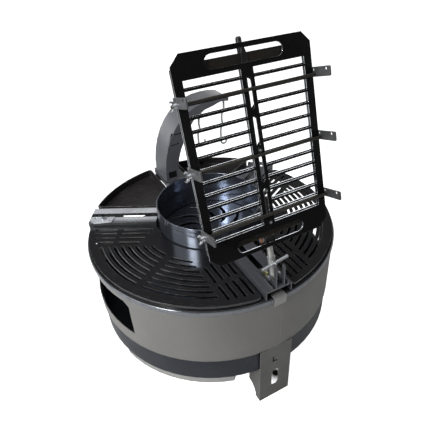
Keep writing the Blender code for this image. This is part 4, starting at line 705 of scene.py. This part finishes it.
class FIREPIT_OT_liner(bpy.types.Operator):
    """Lines the arm's foot with a dark sheet of painted shade that shows through its slots"""
    bl_idname = "firepit.liner"
    bl_label = "Arm liner"

    def execute(self, context):
        colours = settings()[0]
        # A near-black sheet as painted shade inside the arm's foot, seen through its slots
        painted_shade = make_finish("arm_painted_shade", scaled(colours.rim, 0.3), 0.1, (0.6, 0.8), dust=0.0, wear=0.0,
                           shine=0.1)
        sheet = bmesh.new()
        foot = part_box("hook_arm")[0].z
        corners = [sheet.verts.new((x, foot + y, LINER_FACE)) for x, y in LINER_OUTLINE]
        side = sheet.faces.new(corners)
        grown = bmesh.ops.extrude_face_region(sheet, geom=[side])
        moved = [part for part in grown["geom"] if isinstance(part, bmesh.types.BMVert)]
        bmesh.ops.translate(sheet, verts=moved, vec=(0.0, 0.0, -LINER_SHEET))
        bmesh.ops.recalc_face_normals(sheet, faces=sheet.faces)
        turn = Matrix(((0, 0, -1, 0), (-1, 0, 0, 0), (0, 1, 0, 0), (0, 0, 0, 1)))
        place = Matrix.Rotation(ARM_ANGLE, 4, "Z") @ turn
        piece("arm_shade_sheet", sheet, place, "hook_arm", painted_shade)
        return {"FINISHED"}


class FIREPIT_OT_basket(bpy.types.Operator):
    """Finishes the grids, clamp rods and collars of the basket"""
    bl_idname = "firepit.basket"
    bl_label = "Grill basket"

    def execute(self, context):
        colours, sizes = settings()
        facing = out_of_basket()
        black = make_finish("basket_black", tuple(colours.basket), 0.15, (0.20, 0.32), dust=0.0,
                            patch_scale=16.0, second=scaled(colours.basket, 0.5), wear=0.3,
                            wear_radius=0.8 * MM, breakup=30.0, scratch=0.02, bump=0.03, specks=0.1,
                            shine=0.10, facing=facing, bare=BRIGHT_EDGE)
        brown = make_finish("seasoned_steel", tuple(colours.seasoned), 0.15, (0.26, 0.40), dust=0.0,
                            patch_scale=20.0, wear=0.4, wear_radius=0.8 * MM, breakup=30.0,
                            scratch=0.05, bump=0.05, specks=0.15, shine=0.15, facing=facing,
                            bare=BRIGHT_EDGE)
        rods = make_finish("rod_steel", scaled(colours.seasoned, 1.6), 0.3, (0.28, 0.42), dust=0.0,
                           patch_scale=20.0, scratch=0.3, bump=0.05, shine=0.35)
        collars = make_finish("collar_black", scaled(colours.basket, 1.6), 0.3, (0.28, 0.40), dust=0.0,
                              bump=0.05, shine=0.35)
        dress(("front_grid",), black, sizes.edge)
        dress(("rear_grid",), brown, sizes.edge)
        dress(ROD_NODES, rods, sizes.edge)
        dress(COLLAR_NODES, collars, sizes.edge)
        return {"FINISHED"}


class FIREPIT_OT_fasteners(bpy.types.Operator):
    """Adds the spine's bolts and washers, and the threads of the bolts and clamp rods"""
    bl_idname = "firepit.fasteners"
    bl_label = "Fasteners"

    def execute(self, context):
        colours, sizes = settings()
        bright = make_finish("bolt_zinc", scaled(colours.zinc, 0.6), 0.9, (0.24, 0.36), patch_scale=80.0,
                             second=scaled(colours.zinc, 0.3), dust=0.0, wear=0.4, bump=0.04)
        dull = make_finish("thread_steel", scaled(colours.zinc, 0.45), 0.8, (0.30, 0.42), dust=0.0,
                           wear=0.5, bump=0.04)
        black = make_finish("washer_black", scaled(colours.basket, 2.0), 0.3, (0.28, 0.40), dust=0.0,
                            wear=0.6, bump=0.05)
        mast = mast_frame()
        radius = sizes.bolt_head / 2
        high = 0.55 * radius
        base = WASHER_THICK
        for index, (across, level) in enumerate(SPINE_BOLTS):
            seat = mast @ Matrix.Translation((across, level, GRID_FACE + 0.05 * MM))
            washer = lathe(((0.45 * radius, 0.0), (1.7 * radius, 0.0), (1.7 * radius, base),
                            (0.45 * radius, base), (0.45 * radius, 0.0)), 32)
            piece(f"spine_washer_{index + 1}", washer, seat, "front_grid", black)
            head = lathe(((0.0, base), (0.9 * radius, base), (radius, base + 0.25 * high),
                          (0.86 * radius, base + 0.8 * high), (0.6 * radius, base + high),
                          (0.42 * radius, base + high), (0.36 * radius, base + 0.4 * high),
                          (0.0, base + 0.36 * high)), 32)
            piece(f"spine_bolt_{index + 1}", head, seat, "front_grid", bright)
        along = Matrix(((0, 0, 1, 0), (1, 0, 0, 0), (0, 1, 0, 0), (0, 0, 0, 1)))
        for name, level in ROD_LEVELS.items():
            place = mast @ Matrix.Translation((0.0, level, ROD_OUT)) @ along
            ridge = helix(ROD_TIP + sizes.thread_pitch / 2, ROD_NUT_END, ROD_RADIUS,
                          sizes.thread_pitch, THREAD_RISE)
            piece(f"rod_thread_{name}", ridge, place, f"clamp_rod_{name}", dull)
        stud_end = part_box("slider_stud")[1].z
        nut_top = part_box("slider_wing_nut")[1].z
        place = Matrix.Rotation(RAIL_ANGLE, 4, "Z") @ Matrix.Translation((STUD_PLACE, 0.0, 0.0))
        ridge = helix(nut_top - STUD_THREAD_DROP + sizes.thread_pitch, stud_end - sizes.thread_pitch / 2,
                      ROD_RADIUS, sizes.thread_pitch, THREAD_RISE)
        piece("stud_thread", ridge, place, "mast_carriage", dull)
        return {"FINISHED"}


class FIREPIT_OT_stage(bpy.types.Operator):
    """Makes the pale floor, the soft lights and the camera"""
    bl_idname = "firepit.stage"
    bl_label = "Studio"

    def execute(self, context):
        studio = context.scene.fire_pit_studio
        mesh = bpy.data.meshes.new("studio_floor")
        plane = bmesh.new()
        bmesh.ops.create_grid(plane, x_segments=1, y_segments=1, size=FLOOR_HALF)
        plane.to_mesh(mesh)
        plane.free()
        floor = bpy.data.objects.new("studio_floor", mesh)
        context.scene.collection.objects.link(floor)
        floor.location.z = CAD_BOX[0].z - FLOOR_GAP
        paper = bpy.data.materials.new("studio_paper")
        paper.use_nodes = True
        tree = paper.node_tree
        shader = tree.nodes["Principled BSDF"]
        spot = add(tree, "ShaderNodeTexCoord").outputs["Object"]
        grain = noise(tree, spot, 3.0)
        tone = blend(tree, grain, tuple(studio.floor), scaled(studio.floor, 0.985))
        shader.inputs["Roughness"].default_value = 0.9
        shader.inputs["Specular IOR Level"].default_value = 0.1
        shader.inputs["Emission Color"].default_value = (1.0, 1.0, 1.0, 1.0)
        seen = add(tree, "ShaderNodeLightPath").outputs["Is Camera Ray"]
        away = add(tree, "ShaderNodeVectorMath", ((0, spot), (1, LEG_SHADE)),
                   operation="DISTANCE").outputs["Value"]
        lit = remap(tree, away, SHADE_CORE, SHADE_EDGE)
        tree.links.new(blend(tree, lit, (0.02, 0.02, 0.02), tone), shader.inputs["Base Color"])
        glow = math_node(tree, "MULTIPLY", math_node(tree, "MULTIPLY", seen, lit), studio.glow)
        tree.links.new(glow, shader.inputs["Emission Strength"])
        mesh.materials.append(paper)

        world = bpy.data.worlds.new("studio_sky")
        world.use_nodes = True
        tree = world.node_tree
        way = add(tree, "ShaderNodeTexCoord").outputs["Generated"]
        parts = add(tree, "ShaderNodeSeparateXYZ", (("Vector", way),))
        low_down = remap(tree, parts.outputs["Z"], 0.10, 0.32, studio.horizon, 0.0)
        band = math_node(tree, "MULTIPLY", low_down, remap(tree, parts.outputs["Y"], -0.2, 0.6, 0.15, 1.0))
        background = tree.nodes["Background"]
        tree.links.new(math_node(tree, "ADD", band, studio.sky), background.inputs["Strength"])
        background.inputs["Color"].default_value = (1.0, 1.0, 1.0, 1.0)
        context.scene.world = world
        for (name, place, size), power in zip(LAMPS, (studio.key, studio.top, studio.front)):
            lamp = bpy.data.lights.new(name, "AREA")
            lamp.shape = "RECTANGLE"
            lamp.size, lamp.size_y = size
            lamp.energy = power
            held = bpy.data.objects.new(name, lamp)
            held.location = place
            held.rotation_euler = (LAMP_AIM - Vector(place)).to_track_quat("-Z", "Y").to_euler()
            context.scene.collection.objects.link(held)
        context.scene.view_settings.view_transform = "Standard"

        lens = bpy.data.cameras.new("photo_camera")
        lens.lens = CAMERA_LENS
        lens.sensor_width = CAMERA_SENSOR
        back = CAMERA_RIGHT.cross(CAMERA_UP)
        turn = Matrix((CAMERA_RIGHT, CAMERA_UP, back)).transposed().to_4x4()
        camera = bpy.data.objects.new("photo_camera", lens)
        camera.matrix_world = Matrix.Translation(CAMERA_PLACE) @ turn
        context.scene.collection.objects.link(camera)
        context.scene.camera = camera
        return {"FINISHED"}


OPERATORS = (FIREPIT_OT_pit, FIREPIT_OT_seam, FIREPIT_OT_tube, FIREPIT_OT_plates, FIREPIT_OT_rails,
             FIREPIT_OT_arm, FIREPIT_OT_liner, FIREPIT_OT_basket, FIREPIT_OT_fasteners, FIREPIT_OT_stage)


class FIREPIT_PT_panel(bpy.types.Panel):
    """Lists the fire pit's steps with their settings"""
    bl_idname = "FIREPIT_PT_panel"
    bl_label = "Fire pit grill"
    bl_space_type = "VIEW_3D"
    bl_region_type = "UI"
    bl_category = "Fire pit"

    def draw(self, context):
        scene = context.scene
        for held in (scene.fire_pit_finishes, scene.fire_pit_sizes, scene.fire_pit_studio):
            column = self.layout.column(align=True)
            for name in held.__annotations__:
                column.prop(held, name)
        for operator in OPERATORS:
            self.layout.operator(operator.bl_idname)


GROUPS_OF_PROPS = {"fire_pit_finishes": FirePitFinishes, "fire_pit_sizes": FirePitSizes,
                   "fire_pit_studio": FirePitStudio}


def register():
    for made in (*GROUPS_OF_PROPS.values(), *OPERATORS, FIREPIT_PT_panel):
        bpy.utils.register_class(made)
    for name, made in GROUPS_OF_PROPS.items():
        setattr(bpy.types.Scene, name, PointerProperty(type=made))


def unregister():
    for name in GROUPS_OF_PROPS:
        delattr(bpy.types.Scene, name)
    for made in (FIREPIT_PT_panel, *reversed(OPERATORS), *GROUPS_OF_PROPS.values()):
        bpy.utils.unregister_class(made)


def main():
    register()
    for operator in OPERATORS:
        area, step = operator.bl_idname.split(".")
        getattr(getattr(bpy.ops, area), step)()


if __name__ == "__main__":
    main()
